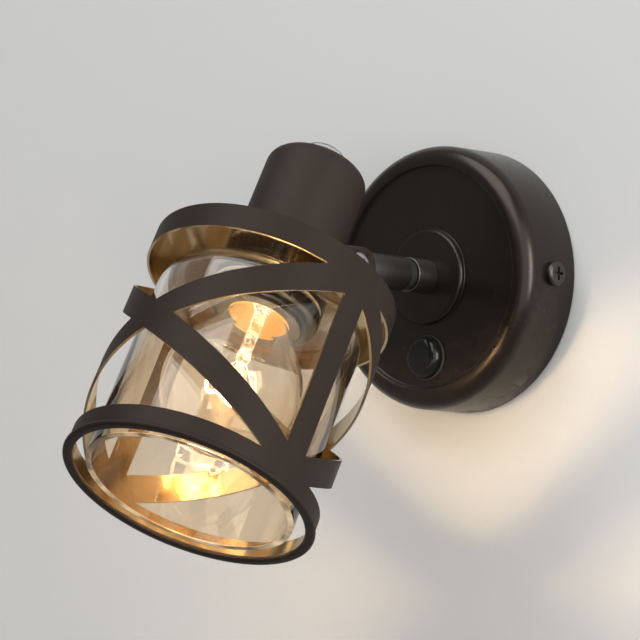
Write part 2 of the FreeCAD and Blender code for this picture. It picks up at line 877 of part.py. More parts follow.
def holder_shell():
    # the ribbed metal screw shell between the body's step and its floor
    low = shell_bottom()
    high = floor_low()
    body = tube(shell_radius, shell_radius - shell_wall, low, high)
    pitch = shell_length / (shell_ribs + 1)
    for i in range(shell_ribs):
        z = low + pitch * (i + 1)
        rib = spun((shell_radius - shell_wall / 2, z - 2 * rib_height), [
            (shell_radius, z - 2 * rib_height), (shell_radius + rib_height, z),
            (shell_radius, z + 2 * rib_height), (shell_radius - shell_wall / 2, z + 2 * rib_height)])
        body = body.fuse(rib)
    return on_head(body.removeSplitter())


def centre_contact():
    # a leaf under the holder's floor, bent down to the lamp's end contact
    half = contact_width / 2
    thick = contact_thick
    leaf = block(-half, half, -half, half, lamp_tip, lamp_tip + thick)
    leaf = leaf.fuse(block(-half, half, half - thick, half, lamp_tip, floor_low()))
    leaf = leaf.fuse(block(-half, half, -half, half, floor_low() - thick, floor_low()))
    return on_head(leaf.removeSplitter())


def gasket():
    return on_head(tube(gasket_radius, gasket_inner_radius, glass_top, gasket_top))


def fluted(ring, low, high):
    # a ring with round flutes down its outside, to turn it by hand
    for i in range(ring_ridges):
        angle = 2 * math.pi * i / ring_ridges
        flute = rod(ridge_radius, low - cut_over, high + cut_over)
        flute.translate(vec(ring_outer_radius * math.cos(angle), ring_outer_radius * math.sin(angle), 0))
        ring = ring.cut(flute)
    return ring


def clamp_ring():
    # holds the cage's disc up against the lampholder's flange
    high = disc_top - sheet
    ring = tube(ring_outer_radius, sleeve_radius + seat_gap, gasket_top, high)
    return on_head(fluted(ring, gasket_top, high))


def shade_ring():
    # holds the glass up against the gasket; its lower end is narrower
    low = ring_top - ring_height
    end = low - nose_height
    nose = sleeve_radius + nose_wall
    inner = sleeve_radius + seat_gap
    ring = spun((inner, end), [
        (nose - nose_edge, end), turn(nose - nose_edge, end + nose_edge, nose_edge, -90, 0), (nose, low),
        (ring_outer_radius - ring_edge, low),
        turn(ring_outer_radius - ring_edge, low + ring_edge, ring_edge, -90, 0),
        (ring_outer_radius, ring_top), (inner, ring_top)])
    return on_head(fluted(ring, low, ring_top))


def glass_shade():
    inner = glass_radius - glass_wall
    shoulder = glass_shoulder
    mouth = cage_mouth + glass_setback
    half = glass_wall / 2
    body = spun((glass_hole_radius, glass_top), [
        (glass_radius - shoulder, glass_top),
        turn(glass_radius - shoulder, glass_top - shoulder, shoulder, 90, 0),
        (glass_radius, mouth + half), turn(glass_radius - half, mouth + half, half, 0, -180),
        (inner, glass_top - shoulder),
        turn(glass_radius - shoulder, glass_top - shoulder, shoulder - glass_wall, 0, 90),
        (glass_hole_radius, glass_top - glass_wall)])
    return on_head(body)


def window(corners, surface_radius):
    # a cutting wedge through the cage, its edges straight on the unrolled sheet;
    # corners are pairs of degrees round the cage and depth below its top
    surface = Part.Cylinder()
    surface.Radius = surface_radius
    surface.Center = ORIGIN
    surface.Axis = Z
    edges = []
    for i, (angle, depth) in enumerate(corners):
        next_angle, next_depth = corners[(i + 1) % len(corners)]
        line = Part.Geom2d.Line2dSegment(FreeCAD.Base.Vector2d(math.radians(angle), -depth),
                                         FreeCAD.Base.Vector2d(math.radians(next_angle), -next_depth))
        edges.append(line.toShape(surface))
    face = Part.Face(surface, Part.Wire(edges))
    face.validate()
    return face.makeOffsetShape(sheet + 2 * cut_over, seat_gap / 10, fill=True)


def cage_windows():
    # four windows between two bars: over, under and either side of a cross; angles from the cross
    per_degree = math.radians(1) * cage_radius
    bar_angle = 180 / bars
    slope = (cage_length - 2 * diagonal_inset) / (2 * bar_angle)
    lean = math.atan2(slope, per_degree)
    half = bar_width / 2 / math.cos(lean)
    middle = cage_length / 2
    edge_angle = bar_angle - bar_width / 2 / per_degree
    low_edge = cage_length - bottom_band
    over = (middle - half - top_band) / slope
    under = (low_edge - middle - half) / slope
    throat = half / slope
    spread = slope * edge_angle - half
    return [
        [(-over, top_band), (0, middle - half), (over, top_band)],
        [(-under, low_edge), (under, low_edge), (0, middle + half)],
        [(throat, middle), (edge_angle, middle + spread), (edge_angle, middle - spread)],
        [(-throat, middle), (-edge_angle, middle - spread), (-edge_angle, middle + spread)]]


def cage():
    # the sheet ends inside the rolled rim of the mouth
    half = bead_height / 2
    rim = cage_mouth + half
    body = tube(cage_radius, cage_radius - sheet, rim, disc_top)
    body = body.fuse(tube(cage_radius - sheet / 2, disc_hole_radius, disc_top - sheet, disc_top))
    outer = cage_radius + bead_proud - half
    inner = cage_radius + bead_proud - bead_width + half
    bead = spun((inner, cage_mouth), [(outer, cage_mouth), turn(outer, rim, half, -90, 90),
                                      (inner, rim + half), turn(inner, rim, half, 90, 270)])
    for corners in cage_windows():
        for i in range(bars):
            wedge = window(corners, cage_radius - sheet - cut_over)
            # the first cross faces away from the wall
            wedge.rotate(ORIGIN, Z, 360 * i / bars - 90)
            body = body.cut(wedge)
    return on_head(body.fuse(bead).removeSplitter())


# Lamp

def bulb_form(inset):
    # a throat inside the cap, the neck, a cone that meets the globe on a tangent, and the globe
    radius = globe_radius - inset
    throat = lamp_throat_radius - inset
    neck_r = lamp_neck_radius - inset
    high = neck_start + lamp_throat_length
    # where the cone from the neck's corner touches the globe
    rise = neck_end - globe_centre
    touch = math.atan2(rise, neck_r) - math.acos(radius / math.hypot(neck_r, rise))
    point = (radius * math.cos(touch), globe_centre + radius * math.sin(touch))
    over = cut_over if inset else 0
    return spun((0, high + over), [
        (throat, high + over), (throat, neck_start - inset), (neck_r, neck_end), point,
        turn(0, globe_centre, radius, math.degrees(touch), -90)])


def bulb_glass():
    return on_head(bulb_form(0).cut(bulb_form(bulb_wall)))


def lamp_cap():
    low = neck_start
    high = lamp_tip - solder_height - cone_height
    body = tube(lamp_cap_radius - rib_height, lamp_cap_radius - rib_height - lamp_cap_wall, low, high)
    pitch = (high - low) / (shell_ribs + 2)
    for i in range(shell_ribs):
        z = low + pitch * (i + 1.5)
        rib = spun((lamp_cap_radius - rib_height - lamp_cap_wall / 2, z - pitch / 2), [
            (lamp_cap_radius - rib_height, z - pitch / 2), (lamp_cap_radius, z),
            (lamp_cap_radius - rib_height, z + pitch / 2),
            (lamp_cap_radius - rib_height - lamp_cap_wall / 2, z + pitch / 2)])
        body = body.fuse(rib)
    return on_head(body.removeSplitter())


def lamp_tip_cone():
    # black glass insulator closing the cap
    low = lamp_tip - solder_height - cone_height
    return on_head(Part.makeCone(lamp_cap_radius - rib_height, solder_radius, cone_height, vec(0, 0, low)))


def lamp_contact():
    low = lamp_tip - solder_height
    edge = solder_height / 2
    return on_head(spun((0, low), [(solder_radius, low), (solder_radius, lamp_tip - edge),
                                   turn(solder_radius - edge, lamp_tip - edge, edge, 0, 90),
                                   (0, lamp_tip)]))


def stem_top():
    return neck_start + lamp_throat_length


def stem_end():
    return stem_top() - stem_length


def lamp_stem():
    # glass flare closing the throat, drawn down to a rod with a bead that carries the wires
    flare_r = lamp_throat_radius - bulb_wall - seat_gap
    flare_end = stem_top() - stem_length * stem_flare_share
    bead_centre = stem_end() + bead_ball_radius
    body = spun((0, stem_top()), [(flare_r, stem_top()), (stem_radius, flare_end),
                                  (stem_radius, bead_centre), (0, bead_centre)])
    bead = Part.makeSphere(bead_ball_radius, vec(0, 0, bead_centre))
    return on_head(body.fuse(bead).removeSplitter())


def filament_height():
    return stem_end() - filament_drop


def lamp_supports():
    # wires from the bead out to the filament
    centre = vec(0, 0, stem_end() + bead_ball_radius)
    wires = []
    for i in range(supports):
        angle = 2 * math.pi * (i + 0.5) / supports
        end = vec(filament_ring * math.cos(angle), filament_ring * math.sin(angle), filament_height())
        run = end - centre
        start = centre + run.normalize() * (bead_ball_radius + seat_gap)
        length = (end - start).Length - filament_radius - seat_gap
        wires.append(aimed(rod(support_radius, 0, length), end - start, start))
    return on_head(Part.makeCompound(wires))


def lamp_filament():
    # an open ring of fine wire
    return on_head(Part.makeTorus(filament_ring, filament_radius, vec(0, 0, filament_height()), Z,
                                  0, 360, filament_turn))


pieces = {
    "mount_bracket": mount_bracket, "canopy": canopy, "canopy_screws": canopy_screws,
    "earth_screw": earth_screw, "earth_washer": earth_washer, "terminal_block": terminal_block,
    "terminal_screws": terminal_screws, "block_screw": block_screw, "swivel_post": swivel_post,
    "friction_ring": friction_ring, "post_washer": post_washer, "post_nut": post_nut,
    "switch_body": switch_body, "switch_bezel": switch_bezel, "switch_button": switch_button,
    "switch_spring": switch_spring,
    "switch_terminals": switch_terminals, "inner_leads": inner_leads,
    "arm_tube": arm_tube, "arm_bush": arm_bush, "grub_screw": grub_screw, "arm_knuckle": arm_knuckle,
    "fibre_washer": fibre_washer, "head_knuckle": head_knuckle, "knuckle_screws": knuckle_screws,
    "pivot_screw": pivot_screw, "pivot_nut": pivot_nut, "lampholder_cup": cup, "cup_nipple": cup_nipple,
    "cup_nut": cup_nut, "end_cap": end_cap, "holder_body": holder_body, "holder_shell": holder_shell,
    "centre_contact": centre_contact, "clamp_ring": clamp_ring, "gasket": gasket,
    "shade_ring": shade_ring,
    "glass_shade": glass_shade, "cage": cage, "bulb_glass": bulb_glass, "lamp_cap": lamp_cap,
    "lamp_insulator": lamp_tip_cone, "lamp_contact": lamp_contact, "lamp_stem": lamp_stem,
    "lamp_supports": lamp_supports, "lamp_filament": lamp_filament}

for name, make in pieces.items():
    save(name, make())
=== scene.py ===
import math

import bmesh
import bpy
from mathutils import Matrix, Vector


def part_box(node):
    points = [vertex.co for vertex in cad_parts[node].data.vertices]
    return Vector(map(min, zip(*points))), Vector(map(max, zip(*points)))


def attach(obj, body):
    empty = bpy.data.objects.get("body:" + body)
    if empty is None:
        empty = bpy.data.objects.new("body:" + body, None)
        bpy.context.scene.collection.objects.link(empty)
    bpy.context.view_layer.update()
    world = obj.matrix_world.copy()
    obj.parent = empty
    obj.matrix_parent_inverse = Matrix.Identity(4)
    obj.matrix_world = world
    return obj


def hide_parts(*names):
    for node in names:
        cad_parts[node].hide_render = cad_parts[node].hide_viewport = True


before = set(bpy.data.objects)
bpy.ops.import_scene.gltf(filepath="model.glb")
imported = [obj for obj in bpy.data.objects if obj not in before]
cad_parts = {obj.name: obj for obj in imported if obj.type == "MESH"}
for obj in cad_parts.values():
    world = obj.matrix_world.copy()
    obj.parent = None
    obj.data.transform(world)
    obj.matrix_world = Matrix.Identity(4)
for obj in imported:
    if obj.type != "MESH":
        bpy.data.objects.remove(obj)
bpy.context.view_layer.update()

bl_info = {
    "name": "Wall Spotlight",
    "version": (1, 0, 0),
    "blender": (4, 5, 0),
    "location": "3D View > Sidebar > Spotlight",
    "description": "Builds the finished pieces, materials and stage of a caged wall spotlight",
    "category": "Object",
}

MM = 0.001

# The frame's own places, in millimetres


def reach(node, axis, side):
    """One face of a node's box in millimetres: side 0 is the low face along the axis and 1 the high one."""
    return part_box(node)[side][axis] / MM


def middle(node, axis):
    """The middle of a node's box along one axis."""
    return (reach(node, axis, 0) + reach(node, axis, 1)) / 2


def half_width(node):
    """Half of the width of a node's box."""
    return (reach(node, 0, 1) - reach(node, 0, 0)) / 2


def off_wall(node):
    """How far a node's near and far ends stand off the wall."""
    return -reach(node, 1, 1), -reach(node, 1, 0)


CANOPY_RADIUS = min(reach("canopy", 0, 1), reach("canopy", 2, 1))
BOSS_FACE = off_wall("canopy")[1]
COLLAR_RADIUS = reach("swivel_post", 0, 1)
POST_START, POST_END = off_wall("swivel_post")
RING_RADIUS = reach("friction_ring", 0, 1)
COLLAR_FACE, RING_END = off_wall("friction_ring")
ARM_RADIUS = reach("arm_tube", 0, 1)
ARM_START, ARM_END = off_wall("arm_tube")
BUTTON_RADIUS = half_width("switch_button")
BUTTON_START, BUTTON_FACE = off_wall("switch_button")
SWITCH_X = middle("switch_button", 0)
SWITCH_Z = middle("switch_button", 2)
BEZEL_RADIUS = half_width("switch_bezel")
FLOOR_HEIGHT, BEZEL_TOP = off_wall("switch_bezel")
CUP_RADIUS = reach("lampholder_cup", 0, 1)
END_CAP_RADIUS = reach("end_cap", 0, 1)
GLASS_RADIUS = reach("glass_shade", 0, 1)
GLOBE_RADIUS = reach("bulb_glass", 0, 1)

# Shapes that the frame's boxes don't give, in millimetres; heights on the head count from the cage's top

# Wall canopy
CANOPY_ROUND = 5.4
CANOPY_WALL = 1.0
LIP_ROUND = 1.6
BOSS_RADIUS = 15.884
BOSS_EDGE = 1.2
POST_HOLE = 4.92

# Post, friction ring and arm
POST_THREAD = 4.9
POST_NECK = 3.9
POST_BORE = 2.0
POST_EDGE = 0.3
GRUB_GROOVE_RADIUS = 2.8
GRUB_GROOVE_START = 10.4
GRUB_GROOVE_END = 13.3
RING_EDGE = 0.2
ARM_WALL = 1.0

# Push switch
BUTTON_CROWN = 2.6
BEZEL_EDGE = 0.25
BEZEL_BORE_EDGE = 0.1

# Place of the head
PIVOT = Vector((0, -63.2, 0))
SHADE_TILT = 30.0
PIVOT_STAND = 8.0
PIVOT_RISE = 21.2

# Lampholder cup and its clear end cap
CUP_LENGTH = 43.3
CUP_ROUND = 4.8
CUP_WALL = 1.0
CUP_EDGE = 0.2
CUP_BORE = 5.02
END_CAP_HEIGHT = 5.7
END_CAP_WALL = 0.6
END_CAP_ROUND = 1.5
END_CAP_EDGE = 0.15

# Cage
CAGE_RADIUS = 40.15
CAGE_LENGTH = 81.3
SHEET = 0.8
SHEET_ROWS = 12
TOP_BAND = 8.4
BOTTOM_BAND = 7.5
BAR_WIDTH = 8.9
DIAGONAL_INSET = 6.35
BEAD_WIDTH = 3.3
BEAD_HEIGHT = 1.9
BEAD_PROUD = 0.8
DISC_HOLE = 14.1

# Glass cylinder
GLASS_WALL = 2.0
GLASS_RIM = 0.4
GLASS_SHOULDER = 8.5
GLASS_HOLE = 14.6
GLASS_HOLE_EDGE = 0.3
GLASS_TOP = -8.0
GLASS_MOUTH = -80.1

# Lampholder's bore, and how far below the cage's top its sleeve goes
BORE_RADIUS = 12.5
SLEEVE_END = 16.15

# Lamp's envelope
GLOBE_CENTRE = -41.8
GLOBE_STEPS = 40
NECK_START = -9.3
NECK_END = -13.9
NECK_RADIUS = 8.2
NECK_EASE = 0.3
THROAT_RADIUS = 6.1
BULB_WALL = 0.7

# Lamp's stem, with its flare at the top and its bead at the end
STEM_TOP = -6.3
STEM_END = -32.3
STEM_RADIUS = 2.0
STEM_ROUND = 3.0
FLARE_EDGE = 0.3
FLARE_TAPER = 0.6
FLARE_WAIST = 3.0
FLARE_ROUND = 2.0
FLARE_LENGTH = 8.0
STEM_BEAD = 2.4
STEM_BEAD_NECK_ROUND = 1.5
STEM_BEAD_ROUND = 1.2
STEM_BEAD_TIP = 0.7 * STEM_BEAD
STEM_BEAD_TIP_ROUND = 1.0

# Support wires and filament
SUPPORT_COUNT = 5
SUPPORT_RADIUS = 0.16
SUPPORT_SHORT = 0.35
FILAMENT_RING = 8.0
FILAMENT_Z = -41.3
FILAMENT_RADIUS = 0.22
FILAMENT_SAG = 1.2
COIL_RADIUS = 0.42
COIL_TURNS = 64
POINTS_PER_TURN = 10

# Room between parts that slide or turn in one another, and a hair's breadth between faces that nearly meet
RUNNING_GAP = 0.06
HAIR = 0.02

# Distances at which points are merged or taken to lie on a cut
WELD = 0.0005
SEAM_WELD = 0.01
CUT_SNAP = 0.001

# Flats round a turned piece and a wire, points along a quarter of a rounding, and the angles in degrees
# past which an edge looks sharp
TURN_SEGMENTS = 128
CANOPY_SEGMENTS = 192
STEM_SEGMENTS = 48
WIRE_SEGMENTS = 10
ARC_STEPS = 6
SHARP_ANGLE = 32.0
GLOBE_SHARP_ANGLE = 60.0

ON_WALL = Matrix.Rotation(math.radians(90), 4, "X")
ON_HEAD = (Matrix.Translation(PIVOT) @ Matrix.Rotation(math.radians(-SHADE_TILT), 4, "X")
           @ Matrix.Translation((0, -CUP_RADIUS - PIVOT_STAND, -PIVOT_RISE)))
TO_METRES = Matrix.Scale(MM, 4)
AT_SWITCH = ON_WALL @ Matrix.Translation((SWITCH_X, SWITCH_Z, 0))

# The photograph's camera, fitted to the lamp's outlines: degrees, pixels and millimetres
CAMERA_AZIMUTH = 43.4752
CAMERA_ELEVATION = -6.7675
CAMERA_ROLL = -1.387
CAMERA_FOCAL_PIXELS = 3334.0
CAMERA_DISTANCE = 1121.71
ORIGIN_PIXEL = (473.107, 282.184)
FRAME_PIXELS = 640
SENSOR_WIDTH = 36.0

# Wall, in metres; the gap keeps it clear of the plane of the canopy's rim
WALL_REACH = 3.0
WALL_GAP = 0.0004
WALL_SEGMENTS = 64

# Soft lights of the stage: place, target and size in metres, power in watts
STAGE_LIGHTS = {
    "ceiling_light": ((0.1, -1.5, 1.8), (0, -0.05, 0), 2.0, 44.0),
    "front_light": ((1.5, -1.3, 0.24), (0, -0.05, 0), 2.2, 23.0),
    "right_light": ((1.2, -0.08, 0.08), (0, -0.04, 0), 0.7, 14.0),
}

# World's light: its level, and what it gains where it is seen through glass and by the camera
WORLD_GREY = (0.8, 0.8, 0.8, 1)
WORLD_LEVEL = 0.35
WORLD_GAINS = {"Is Transmission Ray": 0.36, "Is Camera Ray": 0.45}

# The lamp's own light: watts, colour and size in metres
LAMP_POWER = 0.05
LAMP_COLOR = (1.0, 0.62, 0.3)
LAMP_SIZE = 0.004

# Depth of the finishes' bump, in metres
FINISH_RELIEF = 0.0002
WALL_RELIEF = 0.0005

# Refraction of glass, and of the end cap's plastic, which bends light less so that the cup shows through
GLASS_INDEX = 1.47
CAP_INDEX = 1.15
GLASS_VIEW_ALPHA = 0.3
NO_LIGHT = (0, 0, 0, 1)


# Material building blocks

def node_group(name, inputs, outputs):
    """A shader node group with named sockets, its input and output nodes placed."""
    group = bpy.data.node_groups.new(name, "ShaderNodeTree")
    for label, kind, default in inputs:
        socket = group.interface.new_socket(label, in_out="INPUT", socket_type=kind)
        socket.default_value = default
    for label, kind in outputs:
        group.interface.new_socket(label, in_out="OUTPUT", socket_type=kind)
    return group, group.nodes.new("NodeGroupInput"), group.nodes.new("NodeGroupOutput")


def feed(tree, socket, value):
    """Sets a socket: a link from another socket, or a plain value."""
    if isinstance(value, bpy.types.NodeSocket):
        tree.links.new(value, socket)
    else:
        socket.default_value = value


def add(tree, kind, **values):
    """A node with plain attributes, and sockets given as in_NAME."""
    node = tree.nodes.new(kind)
    for key, value in values.items():
        if key.startswith("in_"):
            feed(tree, node.inputs[key[3:].replace("_", " ")], value)
        else:
            setattr(node, key, value)
    return node


def noise(tree, **values):
    """A noise over the surface, on Object coordinates, with its sockets given as for add."""
    place = add(tree, "ShaderNodeTexCoord").outputs["Object"]
    return add(tree, "ShaderNodeTexNoise", in_Vector=place, **values).outputs["Fac"]


def calculate(tree, operation, *values, clamp=False):
    """The result of a Math node on sockets or numbers."""
    node = add(tree, "ShaderNodeMath", operation=operation, use_clamp=clamp)
    for socket, value in zip(node.inputs, values):
        feed(tree, socket, value)
    return node.outputs[0]


def ramp(tree, source, stops):
    """A colour ramp on a value; stops are (place, grey)."""
    node = add(tree, "ShaderNodeValToRGB", in_Fac=source)
    elements = node.color_ramp.elements
    while len(elements) < len(stops):
        elements.new(0.5)
    for element, (place, grey) in zip(elements, stops):
        element.position = place
        element.color = (grey, grey, grey, 1)
    return node.outputs["Color"]


def mixed(tree, factor, first, second, blend="MIX"):
    """A colour mix of two sockets or colours."""
    node = add(tree, "ShaderNodeMix", data_type="RGBA", blend_type=blend, clamp_result=True)
    for socket, value in ((node.inputs[0], factor), (node.inputs[6], first), (node.inputs[7], second)):
        feed(tree, socket, value)
    return node.outputs[2]


def blotches(tree, low, high, dim, bright, **values):
    """A colour that goes from dim to bright where a noise over the surface rises from low to high."""
    return mixed(tree, ramp(tree, noise(tree, **values), [(low, 0.0), (high, 1.0)]), dim, bright)


def new_material(name, color):
    """A material with its node tree and its Principled shader."""
    material = bpy.data.materials.new(name)
    material.use_nodes = True
    material.diffuse_color = color
    tree = material.node_tree
    return material, tree, tree.nodes["Principled BSDF"]


def shine(material, color, strength):
    """Gives a material's surface light of its own."""
    shader = material.node_tree.nodes["Principled BSDF"]
    feed(material.node_tree, shader.inputs["Emission Color"], color)
    shader.inputs["Emission Strength"].default_value = strength


def let_through(tree, where, clear):
    """Puts a transparent shader in place of the Principled one where a socket is 1."""
    both = add(tree, "ShaderNodeMixShader")
    solid = tree.nodes["Principled BSDF"]
    for socket, value in zip(both.inputs, (where, solid.outputs[0], clear.outputs[0])):
        feed(tree, socket, value)
    tree.links.new(both.outputs[0], tree.nodes["Material Output"].inputs["Surface"])


def enamel_group():
    """Sprayed enamel: soft mottling, fine orange peel, dust on upward faces and fine scuffs."""
    group, start, end = node_group(
        "EnamelFinish",
        [("Color", "NodeSocketColor", (0.05, 0.04, 0.03, 1)), ("Gloss", "NodeSocketFloat", 0.4),
         ("Grain Scale", "NodeSocketFloat", 900.0), ("Mottle", "NodeSocketFloat", 0.25),
         ("Dust", "NodeSocketFloat", 0.08)],
        [("Color", "NodeSocketColor"), ("Roughness", "NodeSocketFloat"), ("Height", "NodeSocketFloat")])
    given = start.outputs
    unevenness = 0.16
    shadow_tint = (0.72, 0.72, 0.74, 1)
    dust_color = (0.42, 0.39, 0.35, 1)
    soft = noise(group, in_Scale=38.0, in_Detail=4.0, in_Roughness=0.55)
    scuff = noise(group, in_Scale=160.0, in_Detail=6.0, in_Roughness=0.7, in_Distortion=1.5)
    grain = noise(group, in_Scale=given["Grain Scale"], in_Detail=2.0)
    darker = mixed(group, 1.0, given["Color"], shadow_tint, "MULTIPLY")
    clouded = mixed(group, ramp(group, soft, [(0.3, 0.0), (0.7, 1.0)]), darker, given["Color"])
    coat = mixed(group, given["Mottle"], given["Color"], clouded)
    normal = add(group, "ShaderNodeNewGeometry").outputs["Normal"]
    upward = add(group, "ShaderNodeSeparateXYZ", in_Vector=normal).outputs["Z"]
    patches = ramp(group, scuff, [(0.42, 0.0), (0.68, 1.0)])
    settled = calculate(group, "MULTIPLY", upward, patches, clamp=True)
    dust = calculate(group, "MULTIPLY", settled, given["Dust"], clamp=True)
    rough = calculate(group, "MULTIPLY_ADD", soft, unevenness, given["Gloss"])
    feed(group, end.inputs["Color"], mixed(group, dust, coat, dust_color))
    feed(group, end.inputs["Roughness"], calculate(group, "ADD", rough, dust, clamp=True))
    feed(group, end.inputs["Height"], grain)
    return group


def metal_group():
    """Turned or rolled metal: fine grain, and stains that dull it."""
    group, start, end = node_group(
        "MetalFinish",
        [("Color", "NodeSocketColor", (0.7, 0.6, 0.4, 1)), ("Gloss", "NodeSocketFloat", 0.25),
         ("Grain Scale", "NodeSocketFloat", 1400.0), ("Stain", "NodeSocketFloat", 0.3)],
        [("Color", "NodeSocketColor"), ("Roughness", "NodeSocketFloat"), ("Height", "NodeSocketFloat")])
    given = start.outputs
    unevenness = 0.2
    stain_tint = (0.7, 0.66, 0.6, 1)
    stain = noise(group, in_Scale=60.0, in_Detail=5.0, in_Roughness=0.6)
    grain = noise(group, in_Scale=given["Grain Scale"], in_Detail=3.0, in_Roughness=0.6)
    worn = mixed(group, 1.0, given["Color"], stain_tint, "MULTIPLY")
    amount = calculate(group, "MULTIPLY", ramp(group, stain, [(0.4, 0.0), (0.75, 1.0)]), given["Stain"],
                       clamp=True)
    rough = calculate(group, "MULTIPLY_ADD", stain, unevenness, given["Gloss"], clamp=True)
    feed(group, end.inputs["Color"], mixed(group, amount, given["Color"], worn))
    feed(group, end.inputs["Roughness"], rough)
    feed(group, end.inputs["Height"], grain)
    return group


def finish_material(name, group, color, gloss, bump, finish=None, **principled):
    """A material whose colour, roughness and bump come from a finish group.

    finish sets the group's other sockets, and the remaining values set the Principled shader's own."""
    material, tree, shader = new_material(name, (*color, 1))
    node = add(tree, "ShaderNodeGroup", node_tree=group)
    for key, value in {"Color": (*color, 1), "Gloss": gloss, **(finish or {})}.items():
        node.inputs[key].default_value = value
    relief = add(tree, "ShaderNodeBump", in_Strength=bump, in_Distance=FINISH_RELIEF,
                 in_Height=node.outputs["Height"])
    feed(tree, shader.inputs["Base Color"], node.outputs["Color"])
    feed(tree, shader.inputs["Roughness"], node.outputs["Roughness"])
    feed(tree, shader.inputs["Normal"], relief.outputs["Normal"])
    for key, value in principled.items():
        shader.inputs[key.replace("_", " ")].default_value = value
    return material


def head_place(tree):
    """Two sockets in metres: how far a point of the head lies below the cage's top, and from its axis."""
    place = add(tree, "ShaderNodeTexCoord").outputs["Object"]
    start = TO_METRES @ ON_HEAD.translation
    along = (ON_HEAD.to_3x3() @ Vector((0, 0, -1))).normalized()
    local = add(tree, "ShaderNodeVectorMath", operation="SUBTRACT")
    depth = add(tree, "ShaderNodeVectorMath", operation="DOT_PRODUCT")
    cross = add(tree, "ShaderNodeVectorMath", operation="CROSS_PRODUCT")
    aside = add(tree, "ShaderNodeVectorMath", operation="LENGTH")
    feed(tree, local.inputs[0], place)
    feed(tree, local.inputs[1], start)
    for node in (depth, cross):
        feed(tree, node.inputs[0], local.outputs[0])
        feed(tree, node.inputs[1], along)
    feed(tree, aside.inputs[0], cross.outputs[0])
    return depth.outputs["Value"], aside.outputs["Value"]


def glass_material(name, color, shade, smear, roughness=0.0, low=None, index=GLASS_INDEX):
    """Clear glass that lets lamp light through, with faint smears; its tint may deepen towards the mouth."""
    material, tree, shader = new_material(name, (*color, GLASS_VIEW_ALPHA))
    shader.inputs["Transmission Weight"].default_value = 1.0
    shader.inputs["IOR"].default_value = index
    smear_color = (0.6, 0.58, 0.55, 1)
    film = noise(tree, in_Scale=45.0, in_Detail=5.0, in_Roughness=0.6, in_Distortion=0.8)
    tint = (*color, 1)
    if low:
        depth = calculate(tree, "DIVIDE", head_place(tree)[0], CAGE_LENGTH * MM, clamp=True)
        tint = mixed(tree, ramp(tree, depth, [(0.15, 0.0), (0.5, 0.75), (1.0, 1.0)]), tint, (*low, 1))
    handled = mixed(tree, ramp(tree, film, [(0.35, 0.0), (0.8, 0.04)]), tint, smear_color)
    dull = calculate(tree, "MULTIPLY_ADD", ramp(tree, film, [(0.45, 0.0), (0.8, 1.0)]), smear, roughness,
                     clamp=True)
    feed(tree, shader.inputs["Base Color"], handled)
    feed(tree, shader.inputs["Roughness"], dull)
    let_through(tree, add(tree, "ShaderNodeLightPath").outputs["Is Shadow Ray"],
                add(tree, "ShaderNodeBsdfTransparent", in_Color=(*shade, 1)))
    return material


def shade_material(name, color, shade, low):
    """The glass cylinder: clear with an amber tint, its rim given a painted glow that stands for the lamp
    light its wall leads down to it.
    """
    material = glass_material(name, color, shade, 0.05, low=low)
    tree = material.node_tree
    rim = calculate(tree, "GREATER_THAN", head_place(tree)[0], (-GLASS_MOUTH - GLASS_RIM) * MM)
    # painted glow on the rim, uneven in streaks, standing for the lamp light in the glass
    painted_rim_glow = blotches(tree, 0.4, 0.68, (0.09, 0.055, 0.02, 1), (0.7, 0.52, 0.31, 1), in_Scale=90.0,
                       in_Detail=3.0)
    shine(material, mixed(tree, rim, NO_LIGHT, painted_rim_glow), 1.0)
    return material


def holder_material(name, group, color):
    """Black plastic whose bore, between the sleeve's open end and the shell, has a painted orange glow
    standing for the lamp's light.
    """
    material = finish_material(name, group, color, 0.2, 0.04)
    tree = material.node_tree
    depth, aside = head_place(tree)
    bore = calculate(tree, "MULTIPLY", calculate(tree, "LESS_THAN", aside, BORE_RADIUS * MM),
                     calculate(tree, "LESS_THAN", depth, SLEEVE_END * MM))
    # painted glow of the lamp's light in the bore, patchy orange
    warm = blotches(tree, 0.35, 0.65, (1.0, 0.34, 0.0, 1), (1.0, 0.54, 0.14, 1), in_Scale=70.0,
                    in_Detail=3.0)
    shine(material, mixed(tree, bore, NO_LIGHT, warm), 1.15)
    return material


def glow_material(name, color, strength, hot):
    """A lit surface whose colour varies along it as on a hot wire."""
    material, tree, shader = new_material(name, (*color, 1))
    uneven = noise(tree, in_Scale=260.0, in_Detail=3.0)
    wire = mixed(tree, uneven, (0.3, 0.28, 0.25, 1), (0.5, 0.46, 0.4, 1))
    feed(tree, shader.inputs["Base Color"], wire)
    shader.inputs["Roughness"].default_value = 0.5
    shine(material, mixed(tree, uneven, (*color, 1), (*hot, 1)), strength)
    return material


def stem_material(name, color):
    """The lamp's stem: glass with painted glints, a patchy glow standing for the filament's light caught in
    its seams and folds.
    """
    material = glass_material(name, color, (0.99, 0.95, 0.9), 0.03)
    # painted glints: emission in patches for the filament's light on the stem
    painted_fold_glints = blotches(material.node_tree, 0.46, 0.6, (0.06, 0.04, 0.02, 1), (1.0, 0.88, 0.7, 1),
                     in_Scale=420.0, in_Detail=4.0, in_Roughness=0.65, in_Distortion=1.2)
    shine(material, painted_fold_glints, 1.1)
    return material


